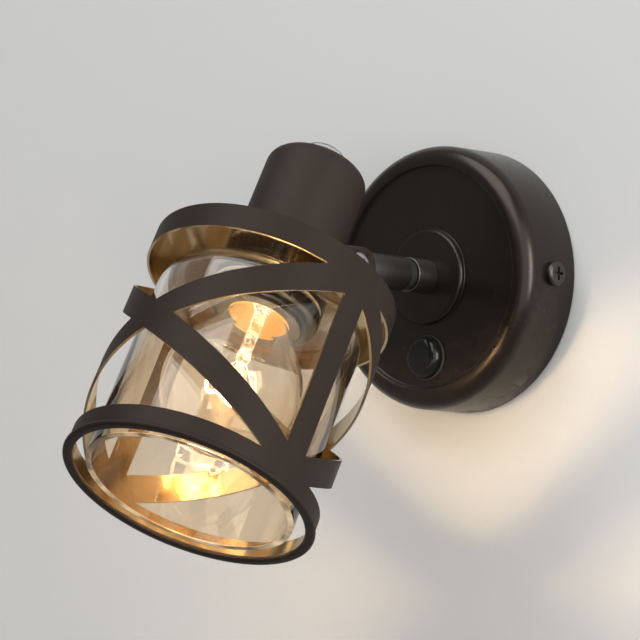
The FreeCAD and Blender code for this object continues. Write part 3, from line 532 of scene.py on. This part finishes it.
def make_materials(colors):
    """Every finish of the lamp, by name."""
    enamel, metal = enamel_group(), metal_group()
    made = {}

    def painted(name, color, gloss, bump, finish=None, **more):
        """A finish of enamel or plastic."""
        made[name] = finish_material(name, enamel, color, gloss, bump, finish, **more)

    def bare(name, color, gloss, bump, stain=0.3):
        """A finish of bare metal."""
        made[name] = finish_material(name, metal, color, gloss, bump, {"Stain": stain}, Metallic=1.0)

    bronze = tuple(colors.bronze)
    # a copy of the bronze at half its brightness: painted shade that darkens the canopy and the arm, which
    # share the cage's paint
    shaded_bronze = tuple(0.5 * c for c in bronze)
    sprayed = {"Mottle": 0.5, "Dust": 0.01}
    wiped = {"Mottle": 0.5, "Dust": 0.0}
    plain = {"Mottle": 0.2, "Dust": 0.0}
    warm = (1.0, 0.84, 0.74, 1)
    jet = (0.006, 0.006, 0.006)
    black = (0.012, 0.012, 0.012)
    painted("bronze_enamel", bronze, 0.5, 0.1, sprayed, Specular_IOR_Level=0.25, Specular_Tint=warm)
    painted("cage_enamel", bronze, 0.46, 0.1, sprayed, Specular_IOR_Level=0.18, Specular_Tint=warm)
    painted("glossy_bronze", shaded_bronze, 0.2, 0.05, wiped, Specular_IOR_Level=0.3, Specular_Tint=warm,
            Coat_Weight=0.12, Coat_Roughness=0.2)
    painted("arm_bronze", shaded_bronze, 0.24, 0.05, wiped, Specular_IOR_Level=1.0, Coat_Weight=0.6,
            Coat_Roughness=0.3)
    bare("gold_lacquer", tuple(colors.gold), 0.03, 0.05, 0.35)
    bare("nickel", (0.42, 0.41, 0.39), 0.26, 0.03, 0.15)
    bare("zinc", (0.6, 0.6, 0.58), 0.3, 0.15, 0.5)
    bare("brass", (0.72, 0.53, 0.24), 0.22, 0.1, 0.6)
    bare("lamp_cap_metal", (0.72, 0.72, 0.7), 0.22, 0.08)
    bare("black_steel", (0.08, 0.075, 0.07), 0.25, 0.1, 0.5)
    painted("button_plastic", jet, 0.06, 0.03, plain, Specular_IOR_Level=0.3)
    # jet black: partly the black plastic of the switch collar and groove ring, partly painted shade of the
    # button's shadow and of the arm's groove
    painted("collar_plastic", jet, 0.6, 0.05, plain)
    painted("moulded_black", (0.02, 0.019, 0.018), 0.42, 0.2)
    painted("moulded_white", (0.8, 0.79, 0.75), 0.38, 0.1)
    painted("gloss_black", black, 0.16, 0.04)
    made["holder_black"] = holder_material("holder_black", enamel, black)
    painted("cable_cover", (0.05, 0.12, 0.4), 0.35, 0.08)
    painted("silicone", (0.7, 0.69, 0.64), 0.55, 0.15)
    painted("fibre_red", (0.25, 0.06, 0.035), 0.6, 0.3)
    painted("vitrite", (0.02, 0.018, 0.02), 0.12, 0.03)
    made["amber_glass"] = shade_material("amber_glass", (0.985, 0.98, 0.975), (0.97, 0.95, 0.92),
                                         tuple(colors.glass))
    made["lamp_glass"] = glass_material("lamp_glass", (0.99, 0.985, 0.97), (0.99, 0.98, 0.96), 0.02)
    # a faint painted glow on the lamp's glass stands for the little light that it scatters
    shine(made["lamp_glass"], (1.0, 0.8, 0.56, 1), 0.035)
    made["cap_plastic"] = glass_material("cap_plastic", (0.93, 0.94, 0.93), (0.9, 0.9, 0.9), 0.2, 0.2,
                                         index=CAP_INDEX)
    made["filament_glow"] = glow_material("filament_glow", (1.0, 0.76, 0.45), 800.0, (1.0, 0.88, 0.64))
    # the support wires get a painted glow for the filament's light that they catch
    made["support_wire"] = glow_material("support_wire", (1.0, 0.72, 0.42), 2.2, (1.0, 0.9, 0.74))
    made["stem_glass"] = stem_material("stem_glass", (1.0, 0.93, 0.82))
    return made


# Every finish by name, once it is made
MATERIALS = {}


# Mesh building blocks

def rounded(corners, closed=True, steps=ARC_STEPS):
    """Outline points from corners (r, h, rounding): each corner with a rounding becomes a tangent arc."""
    points = []
    count = len(corners)
    for i, (r, h, radius) in enumerate(corners):
        here = Vector((r, h))
        if radius <= 0 or (not closed and i in (0, count - 1)):
            points.append(here)
            continue
        before = (Vector(corners[i - 1][:2]) - here).normalized()
        after = (Vector(corners[(i + 1) % count][:2]) - here).normalized()
        half = before.angle(after) / 2
        centre = here + (before + after).normalized() * radius / math.sin(half)
        back = radius / math.tan(half)
        into, out = here + before * back, here + after * back
        start = math.atan2(*(into - centre).yx)
        sweep = math.atan2(*(out - centre).yx) - start
        sweep = (sweep + math.pi) % (2 * math.pi) - math.pi
        number = max(2, round(steps * abs(sweep) / (math.pi / 2)))
        for step in range(number + 1):
            angle = start + sweep * step / number
            points.append(centre + Vector((math.cos(angle), math.sin(angle))) * radius)
    return points


def spin_mesh(outline, closed=True, segments=TURN_SEGMENTS):
    """A bmesh of an outline (r, h) spun about Z; an open outline starts and ends on the axis."""
    bm = bmesh.new()
    verts = [bm.verts.new((max(r, 0), 0, h)) for r, h in outline]
    pairs = list(zip(verts, verts[1:])) + ([(verts[-1], verts[0])] if closed else [])
    edges = [bm.edges.new(pair) for pair in pairs]
    bmesh.ops.spin(bm, geom=verts + edges, cent=(0, 0, 0), axis=(0, 0, 1), angle=2 * math.pi,
                   steps=segments, use_merge=True)
    bmesh.ops.remove_doubles(bm, verts=bm.verts, dist=WELD)
    bmesh.ops.recalc_face_normals(bm, faces=bm.faces)
    return bm


def add_object(name, data):
    """A new object in the scene."""
    made = bpy.data.objects.new(name, data)
    bpy.context.scene.collection.objects.link(made)
    return made


def piece(name, bm, matrix, body, material, replaces=(), sharp_angle=SHARP_ANGLE, more=()):
    """Finishes a bmesh drawn in millimetres as an object: placed, shaded, dressed and set on its body."""
    bmesh.ops.transform(bm, matrix=TO_METRES @ matrix, verts=bm.verts)
    mesh = bpy.data.meshes.new(name)
    bm.to_mesh(mesh)
    bm.free()
    mesh.shade_smooth()
    mesh.set_sharp_from_angle(angle=math.radians(sharp_angle))
    for key in (material, *more):
        mesh.materials.append(MATERIALS[key])
    made = add_object(name, mesh)
    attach(made, body)
    if replaces:
        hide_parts(*replaces)


def turned(name, corners, matrix, body, material, replaces=(), closed=True, segments=TURN_SEGMENTS,
           steps=ARC_STEPS):
    """Builds a piece turned about its axis from rounded corners."""
    bm = spin_mesh(rounded(corners, closed, steps), closed, segments)
    piece(name, bm, matrix, body, material, replaces)


# Sizes and colours that a user may change

class SpotlightLook(bpy.types.PropertyGroup):
    """Colours of the lamp's finishes"""
    bronze: bpy.props.FloatVectorProperty(name="Bronze", description="Colour of the dark enamel",
                                          subtype="COLOR", default=(0.0162, 0.011, 0.0082), min=0, max=1)
    gold: bpy.props.FloatVectorProperty(name="Gold", description="Colour of the cage's gold inside",
                                        subtype="COLOR", default=(0.5, 0.38, 0.22), min=0, max=1)
    glass: bpy.props.FloatVectorProperty(name="Glass", description="Tint of the glass cylinder",
                                         subtype="COLOR", default=(0.95, 0.77, 0.55), min=0, max=1)
    wall: bpy.props.FloatVectorProperty(name="Wall", description="Colour of the wall behind the lamp",
                                        subtype="COLOR", default=(0.58, 0.58, 0.575), min=0, max=1)


class SpotlightSizes(bpy.types.PropertyGroup):
    """Sizes of the finished pieces"""
    rim_edge: bpy.props.FloatProperty(name="Edge rounding", default=0.35, min=0.05, max=1.0,
                                      description="Rounding of turned edges, in millimetres")
    sheet_columns: bpy.props.IntProperty(name="Cage columns", default=240, min=60, max=480,
                                         description="Strips that the cage is rolled from")
    glass_segments: bpy.props.IntProperty(name="Glass segments", default=160, min=32, max=256,
                                          description="Flats round the glass pieces")


class SPOTLIGHT_OT_materials(bpy.types.Operator):
    """Build the materials of every finish"""
    bl_idname = "spotlight.materials"
    bl_label = "Materials"

    def execute(self, context):
        MATERIALS.update(make_materials(context.scene.spotlight_look))
        return {"FINISHED"}


class SPOTLIGHT_OT_canopy(bpy.types.Operator):
    """Build the wall canopy, a spun cup with a rounded shoulder, a sunk front and a low boss"""
    bl_idname = "spotlight.canopy"
    bl_label = "Wall canopy"

    def execute(self, context):
        edge = context.scene.spotlight_sizes.rim_edge
        wall = CANOPY_WALL
        crest = FLOOR_HEIGHT + LIP_ROUND
        lip = CANOPY_RADIUS - CANOPY_ROUND - LIP_ROUND
        outer = [
            (CANOPY_RADIUS, 0, edge), (CANOPY_RADIUS, crest, CANOPY_ROUND), (lip, crest, LIP_ROUND / 2),
            (lip, FLOOR_HEIGHT, LIP_ROUND / 2 - HAIR), (BOSS_RADIUS, FLOOR_HEIGHT, edge),
            (BOSS_RADIUS, BOSS_FACE, BOSS_EDGE), (POST_HOLE, BOSS_FACE, 0)]
        inner = [
            (POST_HOLE, BOSS_FACE - wall, 0), (BOSS_RADIUS - wall, BOSS_FACE - wall, 0),
            (BOSS_RADIUS - wall, FLOOR_HEIGHT - wall, 0), (lip + wall, FLOOR_HEIGHT - wall, 0),
            (lip + wall, crest - wall, 0), (CANOPY_RADIUS - wall, crest - wall, CANOPY_ROUND - wall),
            (CANOPY_RADIUS - wall, 0, 0)]
        turned("wall_canopy", outer + inner, ON_WALL, "base", "glossy_bronze", ("canopy",),
               segments=CANOPY_SEGMENTS, steps=10)
        return {"FINISHED"}


class SPOTLIGHT_OT_switch(bpy.types.Operator):
    """Build the push switch's button and the collar it slides in"""
    bl_idname = "spotlight.switch"
    bl_label = "Push switch"

    def execute(self, context):
        turned("push_button", [
            (0, BUTTON_FACE, 0), (BUTTON_RADIUS, BUTTON_FACE, BUTTON_CROWN),
            (BUTTON_RADIUS, BUTTON_START, 0), (0, BUTTON_START, 0)],
            AT_SWITCH, "button", "button_plastic", ("switch_button",), closed=False,
            steps=10)
        bore = BUTTON_RADIUS + RUNNING_GAP
        turned("switch_collar", [
            (BEZEL_RADIUS, FLOOR_HEIGHT, 0), (BEZEL_RADIUS, BEZEL_TOP, BEZEL_EDGE),
            (bore, BEZEL_TOP, BEZEL_BORE_EDGE), (bore, FLOOR_HEIGHT, 0)],
            AT_SWITCH, "base", "collar_plastic", ("switch_bezel",))
        return {"FINISHED"}


class SPOTLIGHT_OT_arm(bpy.types.Operator):
    """Build the swivel post, the friction ring and the arm"""
    bl_idname = "spotlight.arm"
    bl_label = "Post and arm"

    def execute(self, context):
        edge = context.scene.spotlight_sizes.rim_edge
        groove_start = COLLAR_FACE + GRUB_GROOVE_START
        groove_end = COLLAR_FACE + GRUB_GROOVE_END
        turned("post_collar", [
            (POST_BORE, POST_START, 0), (POST_THREAD, POST_START, POST_EDGE), (POST_THREAD, BOSS_FACE, 0),
            (COLLAR_RADIUS, BOSS_FACE, 0), (COLLAR_RADIUS, COLLAR_FACE, edge), (POST_NECK, COLLAR_FACE, 0),
            (POST_NECK, groove_start, 0), (GRUB_GROOVE_RADIUS, groove_start, 0),
            (GRUB_GROOVE_RADIUS, groove_end, 0), (POST_NECK, groove_end, 0),
            (POST_NECK, POST_END, POST_EDGE), (POST_BORE, POST_END, 0)],
            ON_WALL, "base", "arm_bronze", ("swivel_post",))
        bore = POST_NECK + RUNNING_GAP
        turned("groove_ring", [
            (bore, COLLAR_FACE, 0), (RING_RADIUS, COLLAR_FACE, RING_EDGE),
            (RING_RADIUS, RING_END, RING_EDGE), (bore, RING_END, 0)],
            ON_WALL, "base", "collar_plastic", ("friction_ring",))
        bore = ARM_RADIUS - ARM_WALL
        turned("arm", [
            (bore, ARM_START, 0), (ARM_RADIUS, ARM_START, edge), (ARM_RADIUS, ARM_END, edge),
            (bore, ARM_END, 0)],
            ON_WALL, "arm", "arm_bronze", ("arm_tube",))
        return {"FINISHED"}


class SPOTLIGHT_OT_cup(bpy.types.Operator):
    """Build the lampholder cup and the clear cap on its closed end"""
    bl_idname = "spotlight.cup"
    bl_label = "Lampholder cup"

    def execute(self, context):
        inner = CUP_RADIUS - CUP_WALL
        ceiling = CUP_LENGTH - CUP_WALL
        turned("holder_cup", [
            (CUP_RADIUS, 0, CUP_EDGE), (CUP_RADIUS, CUP_LENGTH, CUP_ROUND), (CUP_BORE, CUP_LENGTH, 0),
            (CUP_BORE, ceiling, 0), (inner, ceiling, CUP_ROUND - CUP_WALL), (inner, 0, 0)],
            ON_HEAD, "head", "bronze_enamel", ("lampholder_cup",), steps=10)
        inner = END_CAP_RADIUS - END_CAP_WALL
        top = CUP_LENGTH + END_CAP_HEIGHT
        ceiling = top - END_CAP_WALL
        turned("clear_end_cap", [
            (inner, CUP_LENGTH, 0), (END_CAP_RADIUS, CUP_LENGTH, END_CAP_EDGE),
            (END_CAP_RADIUS, top, END_CAP_ROUND), (0, top, 0), (0, ceiling, 0),
            (inner, ceiling, END_CAP_ROUND - END_CAP_WALL)],
            ON_HEAD, "head", "cap_plastic", ("end_cap",), steps=8)
        return {"FINISHED"}


def cage_windows():
    """The cage's windows on the unrolled sheet, as corner lists of (degrees from a cross, depth)."""
    per_degree = math.radians(1) * CAGE_RADIUS
    slope = (CAGE_LENGTH - 2 * DIAGONAL_INSET) / 180
    half = BAR_WIDTH / 2 / math.cos(math.atan2(slope, per_degree))
    crossing = CAGE_LENGTH / 2
    bar_edge = 90 - BAR_WIDTH / 2 / per_degree
    low_edge = CAGE_LENGTH - BOTTOM_BAND
    over = (crossing - half - TOP_BAND) / slope
    under = (low_edge - crossing - half) / slope
    spread = slope * bar_edge - half
    return [
        [(-over, TOP_BAND), (0, crossing - half), (over, TOP_BAND)],
        [(-under, low_edge), (under, low_edge), (0, crossing + half)],
        [(half / slope, crossing), (bar_edge, crossing + spread), (bar_edge, crossing - spread)],
        [(-half / slope, crossing), (-bar_edge, crossing - spread), (-bar_edge, crossing + spread)]]


def sides(corners):
    """The sides of a closed outline, as pairs of corners."""
    return zip(corners, corners[1:] + corners[:1])


def inside(corners, u, v):
    """True where a point lies inside a convex window."""
    signs = set()
    for (u1, v1), (u2, v2) in sides(corners):
        signs.add((u2 - u1) * (v - v1) - (v2 - v1) * (u - u1) > 0)
    return len(signs) == 1


def all_parts(bm):
    """Every vertex, edge and face of a bmesh."""
    return bm.verts[:] + bm.edges[:] + bm.faces[:]


def flat_sheet(columns):
    """Half a turn of the cage's sheet, flat, with its windows cut: degrees along X and depth along Y."""
    bm = bmesh.new()
    # the sheet ends in the bead
    length = CAGE_LENGTH - BEAD_HEIGHT / 2
    bmesh.ops.create_grid(bm, x_segments=columns // 2, y_segments=SHEET_ROWS, size=0.5)
    bmesh.ops.scale(bm, vec=(180, length, 1), verts=bm.verts)
    bmesh.ops.translate(bm, vec=(0, length / 2, 0), verts=bm.verts)
    windows = cage_windows()
    for corners in windows:
        for (u1, v1), (u2, v2) in sides(corners):
            bmesh.ops.bisect_plane(bm, geom=all_parts(bm), dist=CUT_SNAP, plane_co=(u1, v1, 0),
                                   plane_no=(v2 - v1, u1 - u2, 0))
    cut = [face for face in bm.faces
           if any(inside(corners, *face.calc_center_median().xy) for corners in windows)]
    bmesh.ops.delete(bm, geom=cut, context="FACES")
    return bm


def roll_sheet(bm):
    """Rolls the half sheet on its outer face and copies it for the other half."""
    for vert in bm.verts:
        # the first half's cross faces away from the wall
        angle = math.radians(vert.co.x - 90)
        vert.co = (CAGE_RADIUS * math.cos(angle), CAGE_RADIUS * math.sin(angle), -vert.co.y)
    other = bmesh.ops.duplicate(bm, geom=all_parts(bm))["geom"]
    bmesh.ops.rotate(bm, verts=[part for part in other if isinstance(part, bmesh.types.BMVert)],
                     cent=(0, 0, 0), matrix=Matrix.Rotation(math.pi, 3, "Z"))
    bmesh.ops.remove_doubles(bm, verts=bm.verts, dist=SEAM_WELD)
    bmesh.ops.recalc_face_normals(bm, faces=bm.faces)
    outward = sum(face.normal.dot(face.calc_center_median() * Vector((1, 1, 0))) for face in bm.faces)
    if outward < 0:
        bmesh.ops.reverse_faces(bm, faces=bm.faces)


class SPOTLIGHT_OT_cage(bpy.types.Operator):
    """Build the cage: a cut and rolled sheet, the disc that closes its top and the bead round its mouth"""
    bl_idname = "spotlight.cage"
    bl_label = "Cage"

    def execute(self, context):
        columns = context.scene.spotlight_sizes.sheet_columns
        sheet = flat_sheet(columns)
        roll_sheet(sheet)
        bmesh.ops.solidify(sheet, geom=sheet.faces[:], thickness=SHEET)
        for face in sheet.faces:
            # the outer face keeps the enamel, the inside and the cut edges are gold
            level = face.calc_center_median().xy.length
            face.material_index = 0 if level > CAGE_RADIUS - SHEET / 4 else 1
        piece("cage_sheet", sheet, ON_HEAD, "head", "cage_enamel", ("cage",),
              more=("gold_lacquer",))
        edge = CAGE_RADIUS - SHEET
        disc = spin_mesh([(DISC_HOLE, 0), (edge, 0), (edge, -SHEET), (DISC_HOLE, -SHEET)], segments=columns)
        for face in disc.faces:
            # gold on the lower face only
            face.material_index = 1 if face.calc_center_median().z < -0.9 * SHEET else 0
        piece("cage_disc", disc, ON_HEAD, "head", "cage_enamel", more=("gold_lacquer",))
        outer = CAGE_RADIUS + BEAD_PROUD
        inner = outer - BEAD_WIDTH
        top = BEAD_HEIGHT - CAGE_LENGTH
        arc = (BEAD_HEIGHT - HAIR) / 2
        turned("cage_bead", [(inner, -CAGE_LENGTH, arc), (outer, -CAGE_LENGTH, arc), (outer, top, arc),
                             (inner, top, arc)],
               ON_HEAD, "head", "cage_enamel", segments=columns)
        return {"FINISHED"}


class SPOTLIGHT_OT_glass(bpy.types.Operator):
    """Build the glass cylinder with its rounded shoulder and lightly rounded rim"""
    bl_idname = "spotlight.glass"
    bl_label = "Glass cylinder"

    def execute(self, context):
        inner = GLASS_RADIUS - GLASS_WALL
        ceiling = GLASS_TOP - GLASS_WALL
        turned("glass_cylinder", [
            (GLASS_HOLE, GLASS_TOP, GLASS_HOLE_EDGE), (GLASS_RADIUS, GLASS_TOP, GLASS_SHOULDER),
            (GLASS_RADIUS, GLASS_MOUTH, GLASS_RIM), (inner, GLASS_MOUTH, GLASS_RIM),
            (inner, ceiling, GLASS_SHOULDER - GLASS_WALL), (GLASS_HOLE, ceiling, GLASS_HOLE_EDGE)],
            ON_HEAD, "head", "amber_glass", ("glass_shade",),
            segments=context.scene.spotlight_sizes.glass_segments, steps=12)
        return {"FINISHED"}


def bulb_outline(inset):
    """Half outline of the lamp's envelope from its throat to its crown, moved in by the glass wall."""
    radius = GLOBE_RADIUS - inset
    neck = NECK_RADIUS - inset
    throat = THROAT_RADIUS - inset
    rise = NECK_END - GLOBE_CENTRE
    touch = math.atan2(rise, neck) - math.acos(radius / math.hypot(neck, rise))
    points = [(throat, STEM_TOP), (throat, NECK_START - inset), (neck - NECK_EASE, NECK_END + 2 * NECK_EASE),
              (neck, NECK_END)]
    for step in range(GLOBE_STEPS + 1):
        angle = touch + (-math.pi / 2 - touch) * step / GLOBE_STEPS
        points.append((radius * math.cos(angle), GLOBE_CENTRE + radius * math.sin(angle)))
    return points


def rod_between(bm, start, end, radius):
    """Adds a thin rod between two points."""
    along = end - start
    made = bmesh.ops.create_cone(bm, cap_ends=True, segments=WIRE_SEGMENTS, radius1=radius,
                                 radius2=radius, depth=along.length)["verts"]
    turn = Vector((0, 0, 1)).rotation_difference(along).to_matrix()
    bmesh.ops.rotate(bm, verts=made, cent=(0, 0, 0), matrix=turn)
    bmesh.ops.translate(bm, verts=made, vec=(start + end) / 2)


def round_stem(number, radius=FILAMENT_RING, rise=0.0):
    """A place on the filament's ring, counted in supports from the first one, moved out or up from it."""
    angle = 2 * math.pi * (number + 0.5) / SUPPORT_COUNT
    return Vector((radius * math.cos(angle), radius * math.sin(angle), FILAMENT_Z + rise))


def support_wires():
    """The wires that hold the filament, fanned out from the stem's bead."""
    bm = bmesh.new()
    bead = Vector((0, 0, STEM_END + STEM_BEAD))
    for number in range(SUPPORT_COUNT):
        end = round_stem(number)
        start = bead + (end - bead).normalized() * (STEM_BEAD + HAIR)
        rod_between(bm, start, end - (end - start).normalized() * SUPPORT_SHORT, SUPPORT_RADIUS)
    return bm


def filament_coil():
    """The filament's coiled wire, slung in waves from the first support to the last."""
    coil = bpy.data.curves.new("filament", "CURVE")
    coil.dimensions = "3D"
    coil.bevel_depth = FILAMENT_RADIUS
    coil.bevel_resolution = 2
    line = coil.splines.new("POLY")
    line.points.add(COIL_TURNS * POINTS_PER_TURN)
    for i, point in enumerate(line.points):
        number = (SUPPORT_COUNT - 1) * i / (COIL_TURNS * POINTS_PER_TURN)
        twist = 2 * math.pi * i / POINTS_PER_TURN
        swing = FILAMENT_RING + COIL_RADIUS * math.cos(twist)
        wave = -FILAMENT_SAG * math.sin(2 * math.pi * number)
        point.co = (*round_stem(number, swing, wave + COIL_RADIUS * math.sin(twist)), 1)
    holder = add_object("filament_curve", coil)
    bpy.context.view_layer.update()
    mesh = bpy.data.meshes.new_from_object(holder.evaluated_get(bpy.context.evaluated_depsgraph_get()))
    bpy.data.objects.remove(holder)
    bm = bmesh.new()
    bm.from_mesh(mesh)
    bpy.data.meshes.remove(mesh)
    return bm


class SPOTLIGHT_OT_lamp(bpy.types.Operator):
    """Build the clear globe lamp: envelope, stem with its flare, support wires and glowing filament"""
    bl_idname = "spotlight.lamp"
    bl_label = "Globe lamp"

    def execute(self, context):
        envelope = spin_mesh(bulb_outline(0) + bulb_outline(BULB_WALL)[::-1],
                             segments=context.scene.spotlight_sizes.glass_segments)
        piece("lamp_globe", envelope, ON_HEAD, "head", "lamp_glass", ("bulb_glass",),
              sharp_angle=GLOBE_SHARP_ANGLE)
        flare = THROAT_RADIUS - BULB_WALL - HAIR
        turned("lamp_stem_glass", [
            (0, STEM_TOP, 0), (flare, STEM_TOP, FLARE_EDGE),
            (flare - FLARE_TAPER, STEM_TOP - FLARE_WAIST, FLARE_ROUND),
            (STEM_RADIUS, STEM_TOP - FLARE_LENGTH, STEM_ROUND),
            (STEM_RADIUS, STEM_END + 2 * STEM_BEAD, STEM_BEAD_NECK_ROUND),
            (STEM_BEAD, STEM_END + STEM_BEAD, STEM_BEAD_ROUND),
            (STEM_BEAD_TIP, STEM_END, STEM_BEAD_TIP_ROUND), (0, STEM_END, 0)],
            ON_HEAD, "head", "stem_glass", ("lamp_stem",), closed=False,
            segments=STEM_SEGMENTS)
        piece("lamp_wires", support_wires(), ON_HEAD, "head", "support_wire", ("lamp_supports",))
        piece("lamp_filament_coil", filament_coil(), ON_HEAD, "head", "filament_glow",
              ("lamp_filament",))
        return {"FINISHED"}


# Finishes of the nodes that keep their own shape
NODE_FINISHES = {
    "zinc": ("mount_bracket", "block_screw", "post_washer", "post_nut", "switch_spring", "knuckle_screws",
             "cup_nipple"),
    "brass": ("earth_screw", "earth_washer", "terminal_screws", "switch_terminals", "arm_bush",
              "holder_shell", "centre_contact"),
    "black_steel": ("canopy_screws", "grub_screw"),
    "nickel": ("pivot_screw", "pivot_nut"),
    "lamp_cap_metal": ("lamp_cap", "lamp_contact"),
    "bronze_enamel": ("arm_knuckle", "head_knuckle"),
    "moulded_white": ("terminal_block", "cup_nut"),
    "moulded_black": ("switch_body",),
    "gloss_black": ("shade_ring", "clamp_ring"),
    "holder_black": ("holder_body",),
    "cable_cover": ("inner_leads",),
    "fibre_red": ("fibre_washer",),
    "silicone": ("gasket",),
    "vitrite": ("lamp_insulator",),
}


class SPOTLIGHT_OT_finishes(bpy.types.Operator):
    """Dress the nodes that keep their own shape"""
    bl_idname = "spotlight.finishes"
    bl_label = "Node finishes"

    def execute(self, context):
        for finish, names in NODE_FINISHES.items():
            for name in names:
                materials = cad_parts[name].data.materials
                materials.clear()
                materials.append(MATERIALS[finish])
        return {"FINISHED"}


def camera_matrix():
    """The camera's place and turn from the fitted angles, the origin's pixel and the distance."""
    azimuth, elevation, roll = (math.radians(a) for a in (CAMERA_AZIMUTH, CAMERA_ELEVATION, CAMERA_ROLL))
    back = Vector((math.sin(azimuth) * math.cos(elevation), -math.cos(azimuth) * math.cos(elevation),
                   math.sin(elevation)))
    right = Vector((math.cos(azimuth), math.sin(azimuth), 0))
    up = back.cross(right)
    right, up = (math.cos(roll) * right + math.sin(roll) * up, math.cos(roll) * up - math.sin(roll) * right)
    per_pixel = CAMERA_DISTANCE / CAMERA_FOCAL_PIXELS
    aside, below = ((pixel - FRAME_PIXELS / 2) * per_pixel for pixel in ORIGIN_PIXEL)
    eye = -(aside * right - below * up - CAMERA_DISTANCE * back) * MM
    turn = Matrix((right, up, back)).transposed().to_4x4()
    return Matrix.Translation(eye) @ turn


def wall_mesh():
    """The wall, open behind the canopy, so that the canopy's inside is lit when it is seen from behind."""
    bm = bmesh.new()
    for radius in (WALL_REACH, (CANOPY_RADIUS - 2 * CANOPY_WALL) * MM):
        bmesh.ops.create_circle(bm, cap_ends=False, radius=radius, segments=WALL_SEGMENTS)
    bmesh.ops.bridge_loops(bm, edges=bm.edges[:])
    bmesh.ops.rotate(bm, verts=bm.verts, cent=(0, 0, 0), matrix=ON_WALL.to_3x3())
    bmesh.ops.translate(bm, verts=bm.verts, vec=(0, WALL_GAP, 0))
    bmesh.ops.reverse_faces(bm, faces=[face for face in bm.faces if face.normal.y > 0])
    mesh = bpy.data.meshes.new("wall")
    bm.to_mesh(mesh)
    bm.free()
    return mesh


def wall_material(color):
    """Matt wall paint, which lets light and sight through from behind."""
    material, tree, shader = new_material("wall_paint", (*color, 1))
    cloud = noise(tree, in_Scale=3.0, in_Detail=3.0)
    greyer = tuple(0.97 * c for c in color)
    feed(tree, shader.inputs["Base Color"], mixed(tree, cloud, (*greyer, 1), (*color, 1)))
    relief = add(tree, "ShaderNodeBump", in_Strength=0.04, in_Distance=WALL_RELIEF,
                 in_Height=noise(tree, in_Scale=700.0, in_Detail=2.0))
    feed(tree, shader.inputs["Normal"], relief.outputs["Normal"])
    shader.inputs["Roughness"].default_value = 0.85
    let_through(tree, add(tree, "ShaderNodeNewGeometry").outputs["Backfacing"],
                add(tree, "ShaderNodeBsdfTransparent"))
    return material


def studio_world():
    """An even grey world that is brighter through glass and to the camera."""
    world = bpy.data.worlds.new("studio")
    world.use_nodes = True
    tree = world.node_tree
    path = add(tree, "ShaderNodeLightPath")
    strength = WORLD_LEVEL
    for ray, gain in WORLD_GAINS.items():
        strength = calculate(tree, "MULTIPLY_ADD", path.outputs[ray], gain, strength)
    background = tree.nodes["Background"]
    feed(tree, background.inputs["Color"], WORLD_GREY)
    feed(tree, background.inputs["Strength"], strength)
    return world


def area_light(name, place, target, size, power):
    """A soft square light aimed at a point, all in metres."""
    data = bpy.data.lights.new(name, "AREA")
    data.energy = power
    data.size = size
    light = add_object(name, data)
    light.location = place
    light.rotation_euler = (Vector(target) - Vector(place)).to_track_quat("-Z", "Y").to_euler()


class SPOTLIGHT_OT_stage(bpy.types.Operator):
    """Build the pale wall, the soft lights, the lamp's own light and the camera"""
    bl_idname = "spotlight.stage"
    bl_label = "Stage"

    def execute(self, context):
        wall = add_object("wall", wall_mesh())
        wall.data.materials.append(wall_material(tuple(context.scene.spotlight_look.wall)))
        wall.visible_shadow = False

        context.scene.world = studio_world()
        for name, light in STAGE_LIGHTS.items():
            area_light(name, *light)

        glow = bpy.data.lights.new("lamp_light", "POINT")
        glow.energy = LAMP_POWER
        glow.color = LAMP_COLOR
        glow.shadow_soft_size = LAMP_SIZE
        lamp = add_object("lamp_light", glow)
        lamp.location = TO_METRES @ ON_HEAD @ Vector((0, 0, FILAMENT_Z))
        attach(lamp, "head")

        lens = bpy.data.cameras.new("camera")
        lens.sensor_width = SENSOR_WIDTH
        lens.lens = CAMERA_FOCAL_PIXELS / FRAME_PIXELS * SENSOR_WIDTH
        camera = add_object("camera", lens)
        camera.matrix_world = camera_matrix()
        context.scene.camera = camera
        context.scene.view_settings.view_transform = "Standard"
        return {"FINISHED"}


OPERATORS = (SPOTLIGHT_OT_materials, SPOTLIGHT_OT_finishes, SPOTLIGHT_OT_canopy, SPOTLIGHT_OT_switch,
             SPOTLIGHT_OT_arm, SPOTLIGHT_OT_cup, SPOTLIGHT_OT_cage, SPOTLIGHT_OT_glass, SPOTLIGHT_OT_lamp,
             SPOTLIGHT_OT_stage)


class SPOTLIGHT_PT_panel(bpy.types.Panel):
    """Lists the lamp's pieces in the sidebar"""
    bl_idname = "SPOTLIGHT_PT_panel"
    bl_label = "Wall Spotlight"
    bl_space_type = "VIEW_3D"
    bl_region_type = "UI"
    bl_category = "Spotlight"

    def draw(self, context):
        for group in (context.scene.spotlight_look, context.scene.spotlight_sizes):
            for key in group.__annotations__:
                self.layout.prop(group, key)
        for operator in OPERATORS:
            self.layout.operator(operator.bl_idname)


CLASSES = (SpotlightLook, SpotlightSizes, *OPERATORS, SPOTLIGHT_PT_panel)


def register():
    for item in CLASSES:
        bpy.utils.register_class(item)
    bpy.types.Scene.spotlight_look = bpy.props.PointerProperty(type=SpotlightLook)
    bpy.types.Scene.spotlight_sizes = bpy.props.PointerProperty(type=SpotlightSizes)


def unregister():
    del bpy.types.Scene.spotlight_sizes
    del bpy.types.Scene.spotlight_look
    for item in reversed(CLASSES):
        bpy.utils.unregister_class(item)


def main():
    """Builds every piece in order."""
    register()
    for operator in OPERATORS:
        family, action = operator.bl_idname.split(".")
        getattr(getattr(bpy.ops, family), action)()


if __name__ == "__main__":
    main()
